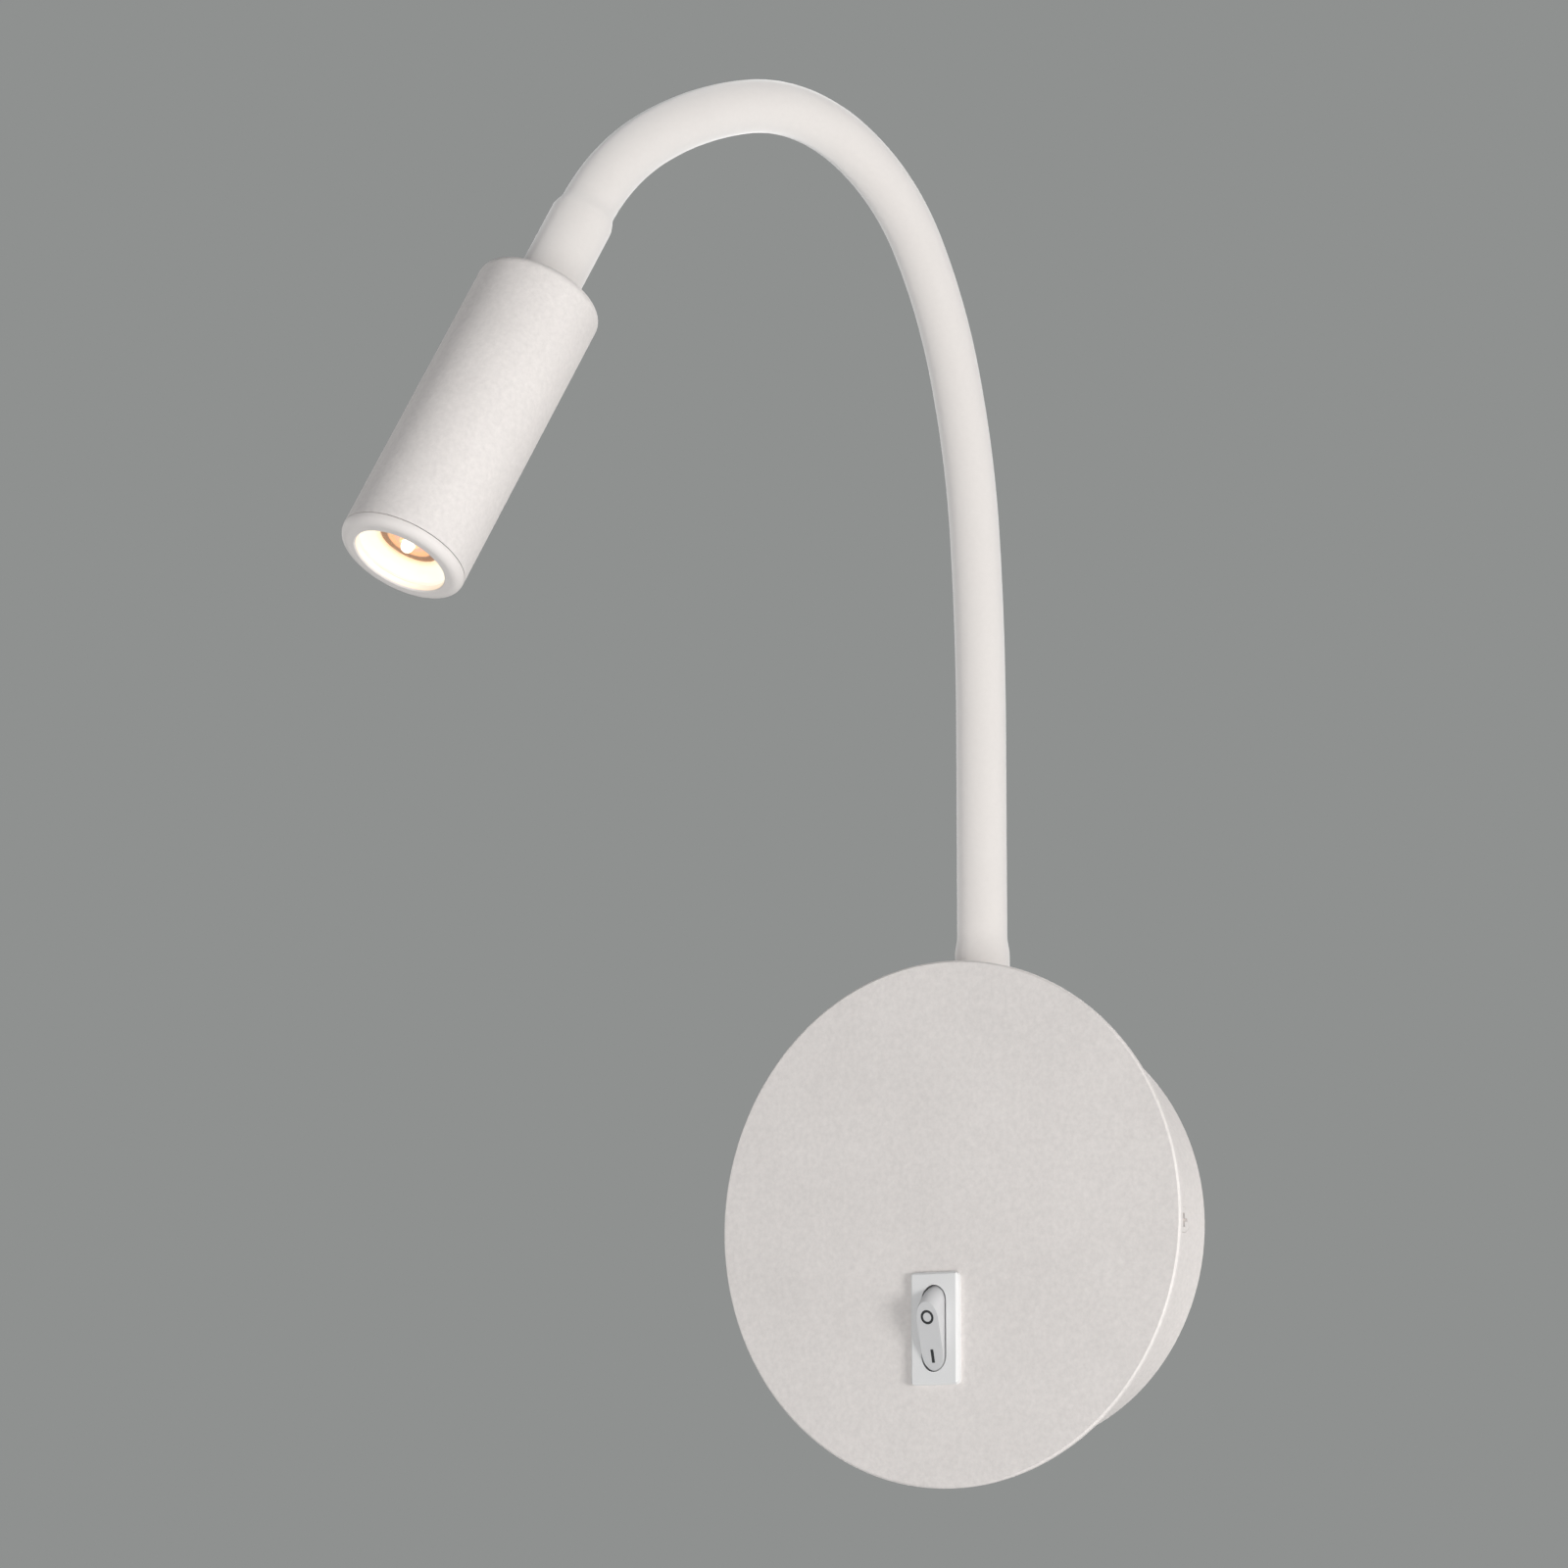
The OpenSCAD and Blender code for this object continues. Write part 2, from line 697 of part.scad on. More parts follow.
module base_ferrule() {
    color("silver") on_foot() rotate_extrude() polygon([
        [wire_bore / 2, foot_low], [thread_d / 2, foot_low],
        [thread_d / 2, spot_z], [foot_flange_d / 2, spot_z], [foot_flange_d / 2, spigot_z],
        [foot_spigot_d / 2, spigot_z], [foot_spigot_d / 2, spigot_top], [core_d / 2 + fit, spigot_top],
        [core_d / 2 + fit, spigot_top - core_seat], [wire_bore / 2, spigot_top - core_seat]
    ]);
}

module base_washer() {
    color("silver") on_foot() tube(washer_d, thread_d + 2 * running, pad_z - washer_t, pad_z);
}

module base_nut() {
    color("silver") on_foot() translate([0, 0, pad_z - washer_t - thread_nut_h])
        hex_nut(thread_d, thread_nut_af, thread_nut_h);
}

module core_base() {
    color("silver") {
        on_foot() tube(core_d, core_bore, spigot_top - core_seat + sleeve_ease, joint_z);
        at_station(0) ball();
    }
}

module sleeve_base() {
    inner = foot_spigot_d / 2 + sleeve_ease;
    top = joint_z - gap / 2;
    color(white) on_foot() rotate_extrude() polygon([
        [inner, spigot_z + sleeve_ease], [inner + sleeve_wall, spigot_z + sleeve_ease],
        [inner + sleeve_wall, spigot_top], [sleeve_d / 2, spigot_top + foot_taper], [sleeve_d / 2, top],
        [sleeve_bore / 2, top], [sleeve_bore / 2, spigot_top + sleeve_wall],
        [inner, spigot_top + sleeve_ease]
    ]);
}

// Bending links of the arm: a ball at the far end of one link turns in the cup of the next

module ball() {
    difference() {
        sphere(d = ball_d);
        cylinder(d = ball_bore, h = 2 * ball_d, center = true);
    }
}

module cup() {
    difference() {
        translate([0, 0, -cup_lip]) cylinder(d = cup_d, h = cup_lip + ball_r + cup_floor);
        sphere(r = ball_r + running);
        cylinder(d = ball_bore, h = 2 * ball_d);
    }
}

module core_link(k) {
    color("silver") {
        at_station(k) {
            cup();
            along(k, neck_from, link_len[k]) tube_section(core_d, core_bore);
        }
        at_station(k + 1) ball();
    }
}

module sleeve_link(k) {
    color(white) at_station(k) along(k, gap / 2, link_len[k] - gap / 2)
        tube_section(sleeve_at(k), sleeve_at(k) - 2 * sleeve_wall);
}

module wires_link(k) {
    color("ivory") at_station(k) along(k, gap / 2, link_len[k] - gap / 2) pair_section();
}

// Head

module core_head() {
    color("silver") {
        at_station(last - 1) {
            cup();
            along(last - 1, neck_from, drop_len) tube_section(core_d, core_bore);
        }
        at_station(last)
            tube(core_end_d, core_bore + end_step, -end_lap, ferrule_from + ferrule_seat - sleeve_ease);
    }
}

module sleeve_head() {
    drop_d = sleeve_at(last - 1);
    start = (drop_d + end_step) / 2;
    inner = ferrule_d / 2 + sleeve_ease;
    outer = inner + sleeve_wall;
    end = neck_len - sleeve_ease;
    color(white) {
        at_station(last - 1) along(last - 1, gap / 2, drop_len)
            tube_section(drop_d, drop_d - 2 * sleeve_wall);
        at_station(last) rotate_extrude() polygon([
            [start - sleeve_wall, -end_lap], [start, -end_lap], [start, swell_from],
            [outer, ferrule_from + ferrule_bevel], [outer, end - sleeve_wall], [outer - sleeve_wall / 2, end],
            [inner, end], [inner, ferrule_from + ferrule_bevel],
            [start - sleeve_wall, ferrule_from - ferrule_bevel]
        ]);
    }
}

module wires_head() {
    thread_end = neck_len + ferrule_thread;
    color("ivory") {
        at_station(last - 1) along(last - 1, gap / 2, drop_len) pair_section();
        at_station(last) translate([0, 0, fit]) rotate([0, 0, 90])
            linear_extrude(thread_end - fit) pair_section();
        on_head() for (s = [-1, 1]) {
            side = s * pair_pitch / 2;
            wire([
                [side, 0, ferrule_thread + fit], [side, 0, ferrule_thread + head_lead],
                [wire_way_r / 2, 2 * side, (ferrule_thread + sink_z) / 2],
                [wire_way_r, side, sink_z - head_lead / 2],
                [wire_way_r, side, board_z + board_t]
            ], pair_d);
        }
    }
}

module head_ferrule() {
    seat = ferrule_from + ferrule_seat;
    end = neck_len + ferrule_thread;
    color("silver") at_station(last) rotate_extrude() polygon([
        [core_end_d / 2 + fit, ferrule_from], [ferrule_d / 2 - ferrule_bevel, ferrule_from],
        [ferrule_d / 2, ferrule_from + ferrule_bevel], [ferrule_d / 2, neck_len], [thread_d / 2, neck_len],
        [thread_d / 2, end], [wire_bore / 2, end], [wire_bore / 2, seat], [core_end_d / 2 + fit, seat]
    ]);
}

module head_nut() {
    color("silver") on_head() translate([0, 0, head_end_t]) hex_nut(thread_d, thread_nut_af, thread_nut_h);
}

module head_housing() {
    front = ring_z - groove;
    color(white) on_head() rotate_extrude() difference() {
        union() {
            translate([0, head_round]) square([head_r, front - head_round]);
            square([head_r - head_round, head_round]);
            translate([head_r - head_round, head_round]) circle(head_round);
        }
        translate([-past, head_end_t]) square([past + head_in, front]);
        translate([-past, -past]) square([past + thread_d / 2 + screw_clearance, head_len]);
    }
}

module heat_sink() {
    color("silver") on_head() difference() {
        union() {
            translate([0, 0, board_z - sink_disc]) cylinder(r = head_in - fit, h = sink_disc);
            for (i = [1:fin_count])
                tube(2 * (i * fin_pitch + fin_t), 2 * i * fin_pitch, sink_z, board_z - sink_disc);
        }
        translate([wire_way_r, 0, sink_z]) cylinder(d = wire_way_d, h = sink_len + past);
        at_board_screws() translate([0, 0, board_z - sink_disc - past])
            cylinder(d = board_screw_d + 2 * fit, h = sink_len);
    }
}

module led_board() {
    color("white") on_head() difference() {
        translate([0, 0, board_z]) cylinder(r = head_in - board_gap, h = board_t);
        translate([wire_way_r, 0, board_z - past]) cylinder(d = wire_way_d, h = board_t + 2 * past);
        at_board_screws() translate([0, 0, board_z]) {
            translate([0, 0, -past]) cylinder(d = board_screw_d + 2 * fit, h = board_t + 2 * past);
            translate([0, 0, board_t - board_screw_head_t])
                cylinder(d = board_screw_head_d + 2 * running, h = board_t);
        }
    }
}

module led_chip() {
    color("khaki") on_head() translate([0, 0, board_z + board_t]) {
        translate([-chip_w / 2, -chip_w / 2, 0]) cube([chip_w, chip_w, chip_t]);
        translate([0, 0, chip_t]) cylinder(d = dome_d, h = dome_lift);
        translate([0, 0, chip_t + dome_lift]) intersection() {
            sphere(d = dome_d);
            cylinder(d = 2 * dome_d, h = dome_d);
        }
    }
}

module board_screws() {
    color("silver") on_head() at_board_screws() translate([0, 0, board_z + board_t - board_screw_head_t]) {
        translate([0, 0, -board_screw_len]) cylinder(d = board_screw_d, h = board_screw_len);
        cylinder(d = board_screw_head_d, h = board_screw_head_t);
    }
}

module reflector() {
    foot = reflector_hole_d / 2;
    edge = reflector_z + reflector_lift;
    flare = opening_d / 2 - foot;
    top = reflector_z + reflector_h;
    under = top - reflector_rim;
    rim = lens_d / 2 - running;
    curve = [for (i = [0:reflector_steps]) let (u = i / reflector_steps)
        [foot + flare * pow(u, 0.6), edge + u * (top - edge)]];
    outside = [for (i = [reflector_steps:-1:0]) if (curve[i][1] < under) curve[i] + [reflector_wall, 0]];
    feet = [[foot + reflector_wall, reflector_z], [foot + reflector_wall / 2, reflector_z],
        [foot + reflector_wall / 2, edge]];
    color("white") on_head() rotate_extrude()
        polygon(concat(curve, [[rim, top], [rim, under]], outside, feet));
}

module lens() {
    color("lightyellow") on_head() translate([0, 0, lens_z]) cylinder(d = lens_d, h = lens_t);
}

module front_ring() {
    seat = lens_d / 2 + running;
    skirt = head_in - running;
    hole = opening_d / 2;
    edge = [head_r - ring_round, head_len - ring_round];
    color(white) on_head() rotate_extrude() {
        polygon([
            [seat, ring_foot], [skirt, ring_foot], [skirt, ring_z], [head_r, ring_z],
            [head_r, edge[1]], edge, [edge[0], head_len], [hole + lip_bevel, head_len],
            [hole, head_len - lip_bevel], [hole, head_len - lip_t], [seat, head_len - lip_t]
        ]);
        translate(edge) intersection() {
            circle(ring_round);
            square(ring_round);
        }
    }
}

front_plate();
plate_nuts();
drum();
wall_bracket();
side_screws();
cable_grommet();
terminal_block();
terminal_screws();
earth_screw();
driver_case();
wire_live();
wire_switched();
wire_neutral();
wire_earth();
wires_base();
switch_body();
switch_terminals();
switch_rocker();
rocker_plunger();
contact_lever();
base_ferrule();
base_washer();
base_nut();
core_base();
sleeve_base();
core_link(0);  // core_1
core_link(1);  // core_2
core_link(2);  // core_3
core_link(3);  // core_4
core_link(4);  // core_5
core_link(5);  // core_6
core_link(6);  // core_7
sleeve_link(0);  // sleeve_1
sleeve_link(1);  // sleeve_2
sleeve_link(2);  // sleeve_3
sleeve_link(3);  // sleeve_4
sleeve_link(4);  // sleeve_5
sleeve_link(5);  // sleeve_6
sleeve_link(6);  // sleeve_7
wires_link(0);  // wires_1
wires_link(1);  // wires_2
wires_link(2);  // wires_3
wires_link(3);  // wires_4
wires_link(4);  // wires_5
wires_link(5);  // wires_6
wires_link(6);  // wires_7
core_head();
sleeve_head();
wires_head();
head_ferrule();
head_nut();
head_housing();
heat_sink();
led_board();
led_chip();
board_screws();
reflector();
lens();
front_ring();
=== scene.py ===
# %% [markdown]
# # A gooseneck wall light, from plain solids to a finished picture
# The light is a round plate on a drum. A sleeved gooseneck rises from the drum and carries a small spot
# head, and a slim rocker switch sits low on the plate. The solids are already made to size, in metres: the
# wall is the plane y = 0, the front looks along -Y and +Z is up. We keep every solid whose shape is right,
# give each one its finish, and make what a plain solid can't show, such as the soft sleeve.

# %% Load the solids and keep their box
import json
import math

import bmesh
import bpy
from mathutils import Matrix, Vector


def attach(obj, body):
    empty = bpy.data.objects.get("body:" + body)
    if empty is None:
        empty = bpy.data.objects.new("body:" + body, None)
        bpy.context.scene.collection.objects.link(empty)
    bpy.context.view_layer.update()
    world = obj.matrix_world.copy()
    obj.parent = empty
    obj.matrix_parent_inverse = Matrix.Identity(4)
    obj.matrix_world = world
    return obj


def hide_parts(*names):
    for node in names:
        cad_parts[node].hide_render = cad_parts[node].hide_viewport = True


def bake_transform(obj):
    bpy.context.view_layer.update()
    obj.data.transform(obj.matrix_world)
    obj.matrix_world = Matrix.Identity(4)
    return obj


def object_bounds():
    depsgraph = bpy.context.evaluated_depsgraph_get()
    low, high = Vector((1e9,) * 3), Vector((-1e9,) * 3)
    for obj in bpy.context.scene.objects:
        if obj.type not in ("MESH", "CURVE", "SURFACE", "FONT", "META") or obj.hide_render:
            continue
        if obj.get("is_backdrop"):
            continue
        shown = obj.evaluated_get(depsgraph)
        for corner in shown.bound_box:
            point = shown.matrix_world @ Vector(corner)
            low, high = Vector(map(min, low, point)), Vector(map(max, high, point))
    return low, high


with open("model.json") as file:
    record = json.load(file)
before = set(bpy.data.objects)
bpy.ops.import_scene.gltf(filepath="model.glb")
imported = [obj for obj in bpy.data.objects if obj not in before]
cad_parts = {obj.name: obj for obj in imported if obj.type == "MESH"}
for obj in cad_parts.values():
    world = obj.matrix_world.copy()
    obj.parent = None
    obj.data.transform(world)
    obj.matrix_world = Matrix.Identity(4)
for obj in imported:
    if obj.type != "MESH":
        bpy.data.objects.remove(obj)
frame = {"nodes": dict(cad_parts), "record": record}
nodes = frame["nodes"]
cad_low, cad_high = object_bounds()
MM = 0.001
collection = bpy.context.scene.collection
print("solids:", len(nodes), "box:", [round(v, 4) for v in (*cad_low, *cad_high)])

# %% [markdown]
# ## Camera
# The picture was taken from the right and a little below, with a long lens, so the plate shows as an upright
# ellipse and the drum as a thin crescent. The camera's turn, height and distance were found by matching
# the plate's rim, the arm and the head. A long lens far away keeps the arm's sides nearly parallel.

# %% Camera
CAMERA_TURN = math.radians(31.77)
CAMERA_RISE = math.radians(-8.91)
CAMERA_PLACE = (0.67195, -1.18587, -0.10846)
CAMERA_LENS = 135
SENSOR_WIDTH = 36

towards_camera = Vector((
    math.sin(CAMERA_TURN) * math.cos(CAMERA_RISE),
    -math.cos(CAMERA_TURN) * math.cos(CAMERA_RISE),
    math.sin(CAMERA_RISE),
))
camera_data = bpy.data.cameras.new("picture_camera")
camera_data.lens = CAMERA_LENS
camera_data.sensor_width = SENSOR_WIDTH
camera = bpy.data.objects.new("picture_camera", camera_data)
camera.location = CAMERA_PLACE
camera.rotation_mode = "QUATERNION"
camera.rotation_quaternion = (-towards_camera).to_track_quat("-Z", "Y")
collection.objects.link(camera)
bpy.context.scene.camera = camera
bpy.context.scene.view_settings.view_transform = "Standard"
print("camera at", CAMERA_PLACE, "lens", CAMERA_LENS)

# %% [markdown]
# ## Node helpers
# Finishes and repeated shapes are both node trees, so a few short helpers serve them all. `add` makes a node,
# sets its properties, and fills each input with a value, a link or a list of links. A socket that repeats a
# name, as on Math nodes, is given by its number. The nodes that come most often have a helper of their own.

# %% Node helpers


def add(tree, kind, inputs=None, **settings):
    """One node: settings are its properties, inputs its sockets by name or number."""
    node = tree.nodes.new(kind)
    for key, value in settings.items():
        setattr(node, key, value)
    for socket, value in (inputs or {}).items():
        for item in value if isinstance(value, list) else [value]:
            if isinstance(item, bpy.types.NodeSocket):
                tree.links.new(item, node.inputs[socket])
            else:
                node.inputs[socket].default_value = item
    return node


def maths(tree, operation, *values):
    """The result of one Math node on numbers or sockets."""
    return add(tree, "ShaderNodeMath", dict(enumerate(values)), operation=operation).outputs[0]


def vector(tree, **parts):
    """A vector from its parts X, Y and Z. A part that is left out is 0."""
    return add(tree, "ShaderNodeCombineXYZ", parts).outputs["Vector"]


def noise(tree, place, scale, detail, roughness):
    """Noise from 0 to 1 at a place."""
    return add(tree, "ShaderNodeTexNoise", {
        "Vector": place, "Scale": scale, "Detail": detail, "Roughness": roughness,
    }).outputs["Fac"]


def new_group(kind, name, inputs, outputs):
    """A node group with named sockets, its input node and its output node."""
    tree = bpy.data.node_groups.new(name, kind)
    for label, socket_kind, value in inputs:
        socket = tree.interface.new_socket(label, in_out="INPUT", socket_type=socket_kind)
        if value is not None:
            socket.default_value = value
    for label, socket_kind in outputs:
        tree.interface.new_socket(label, in_out="OUTPUT", socket_type=socket_kind)
    return tree, tree.nodes.new("NodeGroupInput"), tree.nodes.new("NodeGroupOutput")


def tone(red, green, blue):
    """A colour picked as screen values from 0 to 255, as the linear colour that shaders use."""
    shares = [v / 255 for v in (red, green, blue)]
    return (*[s / 12.92 if s <= 0.04045 else ((s + 0.055) / 1.055) ** 2.4 for s in shares], 1)


print("white wall paint is", [round(v, 3) for v in tone(225, 225, 225)])

# %% [markdown]
# ## Shared surface effects
# Three effects come back on many finishes. *Sprayed grain* is the fine sandy skin of powder coat, and at
# smaller sizes the spark texture of moulded plastic. *Drawn lines* are the faint streaks that rolling and
# turning leave on metal. *Lamp glow* is the chip's light, painted on as a colour that dies away over what
# stands round it.
# Each is a group with named inputs, built once and placed in every finish that needs it.

# %% Sprayed grain
FLOAT = "NodeSocketFloat"
COLOR = "NodeSocketColor"
VECTOR = "NodeSocketVector"
SURFACE_OUTPUTS = [("Color", COLOR), ("Roughness", FLOAT), ("Height", FLOAT)]
BROAD_PATCHES = 38.0
GRAIN_ON_GLOSS = 0.12


def close_surface(tree, start, end, swing, on_tone, on_gloss, height):
    """Every surface group ends alike: the swing shades the tone and sways the gloss."""
    shade = maths(tree, "MULTIPLY_ADD", swing, on_tone, 1.0)
    colour = add(tree, "ShaderNodeHueSaturation", {"Color": start.outputs["Tone"], "Value": shade})
    rough = maths(tree, "MULTIPLY_ADD", swing, on_gloss, start.outputs["Gloss"])
    tree.links.new(colour.outputs["Color"], end.inputs["Color"])
    tree.links.new(rough, end.inputs["Roughness"])
    tree.links.new(height, end.inputs["Height"])


grain_group, grain_in, grain_out = new_group("ShaderNodeTree", "Sprayed grain", [
    ("Tone", COLOR, (0.8, 0.8, 0.8, 1)), ("Grain", FLOAT, 1500),
    ("Mottle", FLOAT, 0.02), ("Gloss", FLOAT, 0.5),
], SURFACE_OUTPUTS)
place = add(grain_group, "ShaderNodeTexCoord").outputs["Object"]
fine = noise(grain_group, place, grain_in.outputs["Grain"], 3.0, 0.6)
broad = noise(grain_group, place, BROAD_PATCHES, 4.0, 0.55)
both = maths(grain_group, "MULTIPLY_ADD", fine, 2.0, broad)
swing = maths(grain_group, "SUBTRACT", both, 1.5)
close_surface(
    grain_group, grain_in, grain_out, swing, grain_in.outputs["Mottle"], GRAIN_ON_GLOSS, fine)
print("sprayed grain:", len(grain_group.nodes), "nodes")

# %% Drawn lines
STREAK_SCALE = 4.0
STAIN_PATCHES = 70.0
LINES_ON_TONE = 0.25
LINES_ON_GLOSS = 0.3

lines_group, lines_in, lines_out = new_group("ShaderNodeTree", "Drawn lines", [
    ("Tone", COLOR, (0.7, 0.7, 0.7, 1)), ("Streaks", VECTOR, (300, 300, 12)), ("Gloss", FLOAT, 0.3),
], SURFACE_OUTPUTS)
place = add(lines_group, "ShaderNodeTexCoord").outputs["Object"]
stretched = add(lines_group, "ShaderNodeVectorMath", {
    0: place, 1: lines_in.outputs["Streaks"],
}, operation="MULTIPLY").outputs[0]
streak = noise(lines_group, stretched, STREAK_SCALE, 3.0, 0.6)
stain = noise(lines_group, place, STAIN_PATCHES, 3.0, 0.5)
both = maths(lines_group, "ADD", streak, stain)
swing = maths(lines_group, "SUBTRACT", both, 1.0)
close_surface(lines_group, lines_in, lines_out, swing, LINES_ON_TONE, LINES_ON_GLOSS, streak)
print("drawn lines:", len(lines_group.nodes), "nodes")

# %% Lamp glow
glow_group, glow_in, glow_out = new_group("ShaderNodeTree", "Lamp glow", [
    ("Source", VECTOR, (0, 0, 0)), ("Near", COLOR, (1, 1, 1, 1)), ("Far", COLOR, (1, 0.8, 0.6, 1)),
    ("Start", FLOAT, 0.001), ("Reach", FLOAT, 0.01),
], [("Color", COLOR)])
place = add(glow_group, "ShaderNodeTexCoord").outputs["Object"]
away = add(glow_group, "ShaderNodeVectorMath", {
    0: place, 1: glow_in.outputs["Source"],
}, operation="DISTANCE").outputs["Value"]
share = add(glow_group, "ShaderNodeMapRange", {
    "Value": away, "From Min": glow_in.outputs["Start"], "From Max": glow_in.outputs["Reach"],
}, interpolation_type="SMOOTHSTEP").outputs["Result"]
glow_mix = add(glow_group, "ShaderNodeMix", {
    "Factor": share, 6: glow_in.outputs["Near"], 7: glow_in.outputs["Far"],
}, data_type="RGBA")
glow_group.links.new(glow_mix.outputs[2], glow_out.inputs["Color"])
print("lamp glow:", len(glow_group.nodes), "nodes")

# %% [markdown]
# ## Finishes
# Each finish is a Principled shader fed by one of the effects. What is the same all over, such as metalness
# or the bump's depth, stays on the shader's own sockets. The numbers are a maker's: the colour of the raw
# stuff, the grain as features per metre, and how far the grain stands out. The soft sleeve also has the
# powdery sheen of silicone.

# %% Finishes with a sprayed or moulded skin
PRINCIPLED = "Principled BSDF"
finishes = {}


def surface(name, group, group_inputs, bump_depth, **constants):
    """A material whose colour, roughness and bump come from one of the surface groups."""
    material = bpy.data.materials.new(name)
    material.use_nodes = True
    tree = material.node_tree
    shader = tree.nodes[PRINCIPLED]
    effect = add(tree, "ShaderNodeGroup", group_inputs, node_tree=group)
    bump = add(tree, "ShaderNodeBump", {
        "Height": effect.outputs["Height"], "Strength": 1.0, "Distance": bump_depth,
    })
    tree.links.new(effect.outputs["Color"], shader.inputs["Base Color"])
    tree.links.new(effect.outputs["Roughness"], shader.inputs["Roughness"])
    tree.links.new(bump.outputs["Normal"], shader.inputs["Normal"])
    for label, value in constants.items():
        shader.inputs[label.replace("_", " ")].default_value = value
    finishes[name] = material
    return material


# Screen colour, grain per metre, mottle, gloss, and the grain's height in millimetres
MOULDED = {
    "white_paint": ((226, 221, 218), 900, 0.12, 0.62, 0.09),
    "silicone": ((223, 219, 216), 900, 0.03, 0.6, 0.008),
    "switch_frame": ((226, 226, 226), 2600, 0.02, 0.68, 0.006),
    "switch_face": ((203, 203, 204), 2600, 0.02, 0.6, 0.006),
    "dark_rubber": ((46, 46, 47), 1200, 0.12, 0.68, 0.01),
    "block_plastic": ((224, 220, 205), 2000, 0.04, 0.38, 0.006),
    "driver_plastic": ((206, 208, 209), 1600, 0.05, 0.55, 0.02),
    "brown_wire": ((104, 62, 36), 1800, 0.08, 0.38, 0.004),
    "black_wire": ((38, 38, 40), 1800, 0.1, 0.38, 0.004),
    "blue_wire": ((44, 88, 160), 1800, 0.08, 0.38, 0.004),
    "white_wire": ((228, 227, 222), 1800, 0.04, 0.38, 0.004),
    "mark_ink": ((40, 41, 43), 2400, 0.1, 0.5, 0.003),
}
POWDERY = {
    "Diffuse_Roughness": 0.6, "Sheen_Weight": 1.0, "Sheen_Roughness": 0.5, "Specular_IOR_Level": 0.25,
}
for name, (screen, grain, mottle, gloss, depth_mm) in MOULDED.items():
    surface(name, grain_group, {
        "Tone": tone(*screen), "Grain": grain, "Mottle": mottle, "Gloss": gloss,
    }, depth_mm * MM, **(POWDERY if name == "silicone" else {}))
print("moulded and sprayed:", len(MOULDED))

# %% Metal finishes
# Screen colour, how close the streaks lie along each axis, gloss, and the streaks' height in millimetres
METALS = {
    "steel": ((196, 199, 202), (300, 300, 14), 0.34, 0.004),
    "brass": ((206, 172, 104), (260, 260, 20), 0.28, 0.003),
    "bare_aluminium": ((205, 207, 209), (40, 40, 400), 0.32, 0.005),
}
for name, (screen, streaks, gloss, depth_mm) in METALS.items():
    surface(name, lines_group, {
        "Tone": tone(*screen), "Streaks": streaks, "Gloss": gloss,
    }, depth_mm * MM, Metallic=1.0)
print("metals:", len(METALS))

# %% [markdown]
# ## The earth wire
# An earth wire is green with a yellow stripe that winds along it. The stripe reads the wire's own UV map,
# which the sweep below makes: one direction runs round the wire and the other along it.

# %% Earth wire stripes
STRIPE_TURNS = 14.0
GREEN_SHARE = 0.62

earth = surface("earth_wire", grain_group, {
    "Tone": tone(66, 134, 58), "Grain": 1800, "Mottle": 0.08, "Gloss": 0.38,
}, 0.004 * MM)
tree = earth.node_tree
run = add(tree, "ShaderNodeUVMap", uv_map="run")
split = add(tree, "ShaderNodeSeparateXYZ", {"Vector": run.outputs["UV"]})
twist = maths(tree, "MULTIPLY_ADD", split.outputs["Y"], STRIPE_TURNS, split.outputs["X"])
turn_share = maths(tree, "FLOORED_MODULO", twist, 1.0)
stripe = maths(tree, "GREATER_THAN", turn_share, GREEN_SHARE)
green = tree.nodes[PRINCIPLED].inputs["Base Color"].links[0].from_socket
paint = add(tree, "ShaderNodeMix", {"Factor": stripe, 6: green, 7: tone(228, 205, 62)}, data_type="RGBA")
tree.links.new(paint.outputs[2], tree.nodes[PRINCIPLED].inputs["Base Color"])
print("earth wire striped")

# %% [markdown]
# ## The arm's line
# The arm is a chain of short links: each has a length and a turn, and bends in one plane that is swung
# 20 degrees from straight ahead. Writing the line as a rule gives any point on it, so the sleeve, its swollen
# ends and the bending stations all come from the same few numbers.

# %% The arm's line
# Length in millimetres and turn in degrees of each link
LINKS = ((44, 0), (46, 4.1), (40, 10.2), (30, 14), (30, 33.6), (30, 42.1), (30, 19.8), (27.2, 26.2))
ARM_SWING = math.radians(-20)
FIRST_STATION = Vector((0, -13.7, 72)) * MM
FOOT_START = -21.45
NECK = 24.5
STRAIGHT = 1e-9
arm_ahead = Vector((math.sin(ARM_SWING), -math.cos(ARM_SWING), 0))
arm_length = sum(length for length, _ in LINKS)


def arm_at(s):
    """Point and direction on the arm's line, s in millimetres from the first bending station."""
    ahead, rise, heading, left = 0.0, min(s, 0.0), 0.0, max(s, 0.0)
    for length, turn in LINKS:
        part = min(left, length)
        bend = math.radians(turn) * part / length
        if bend > STRAIGHT:
            radius = part / bend
            ahead += radius * (math.cos(heading) - math.cos(heading + bend))
            rise += radius * (math.sin(heading + bend) - math.sin(heading))
        else:
            ahead += part * math.sin(heading)
            rise += part * math.cos(heading)
        heading += bend
        left -= part
    ahead += left * math.sin(heading)
    rise += left * math.cos(heading)
    point = FIRST_STATION + (arm_ahead * ahead + Vector((0, 0, rise))) * MM
    return point, arm_ahead * math.sin(heading) + Vector((0, 0, math.cos(heading)))


neck_point, head_axis = arm_at(arm_length)
head_top = neck_point + head_axis * NECK * MM
print("arm", arm_length, "mm, head top at", [round(v, 4) for v in head_top])
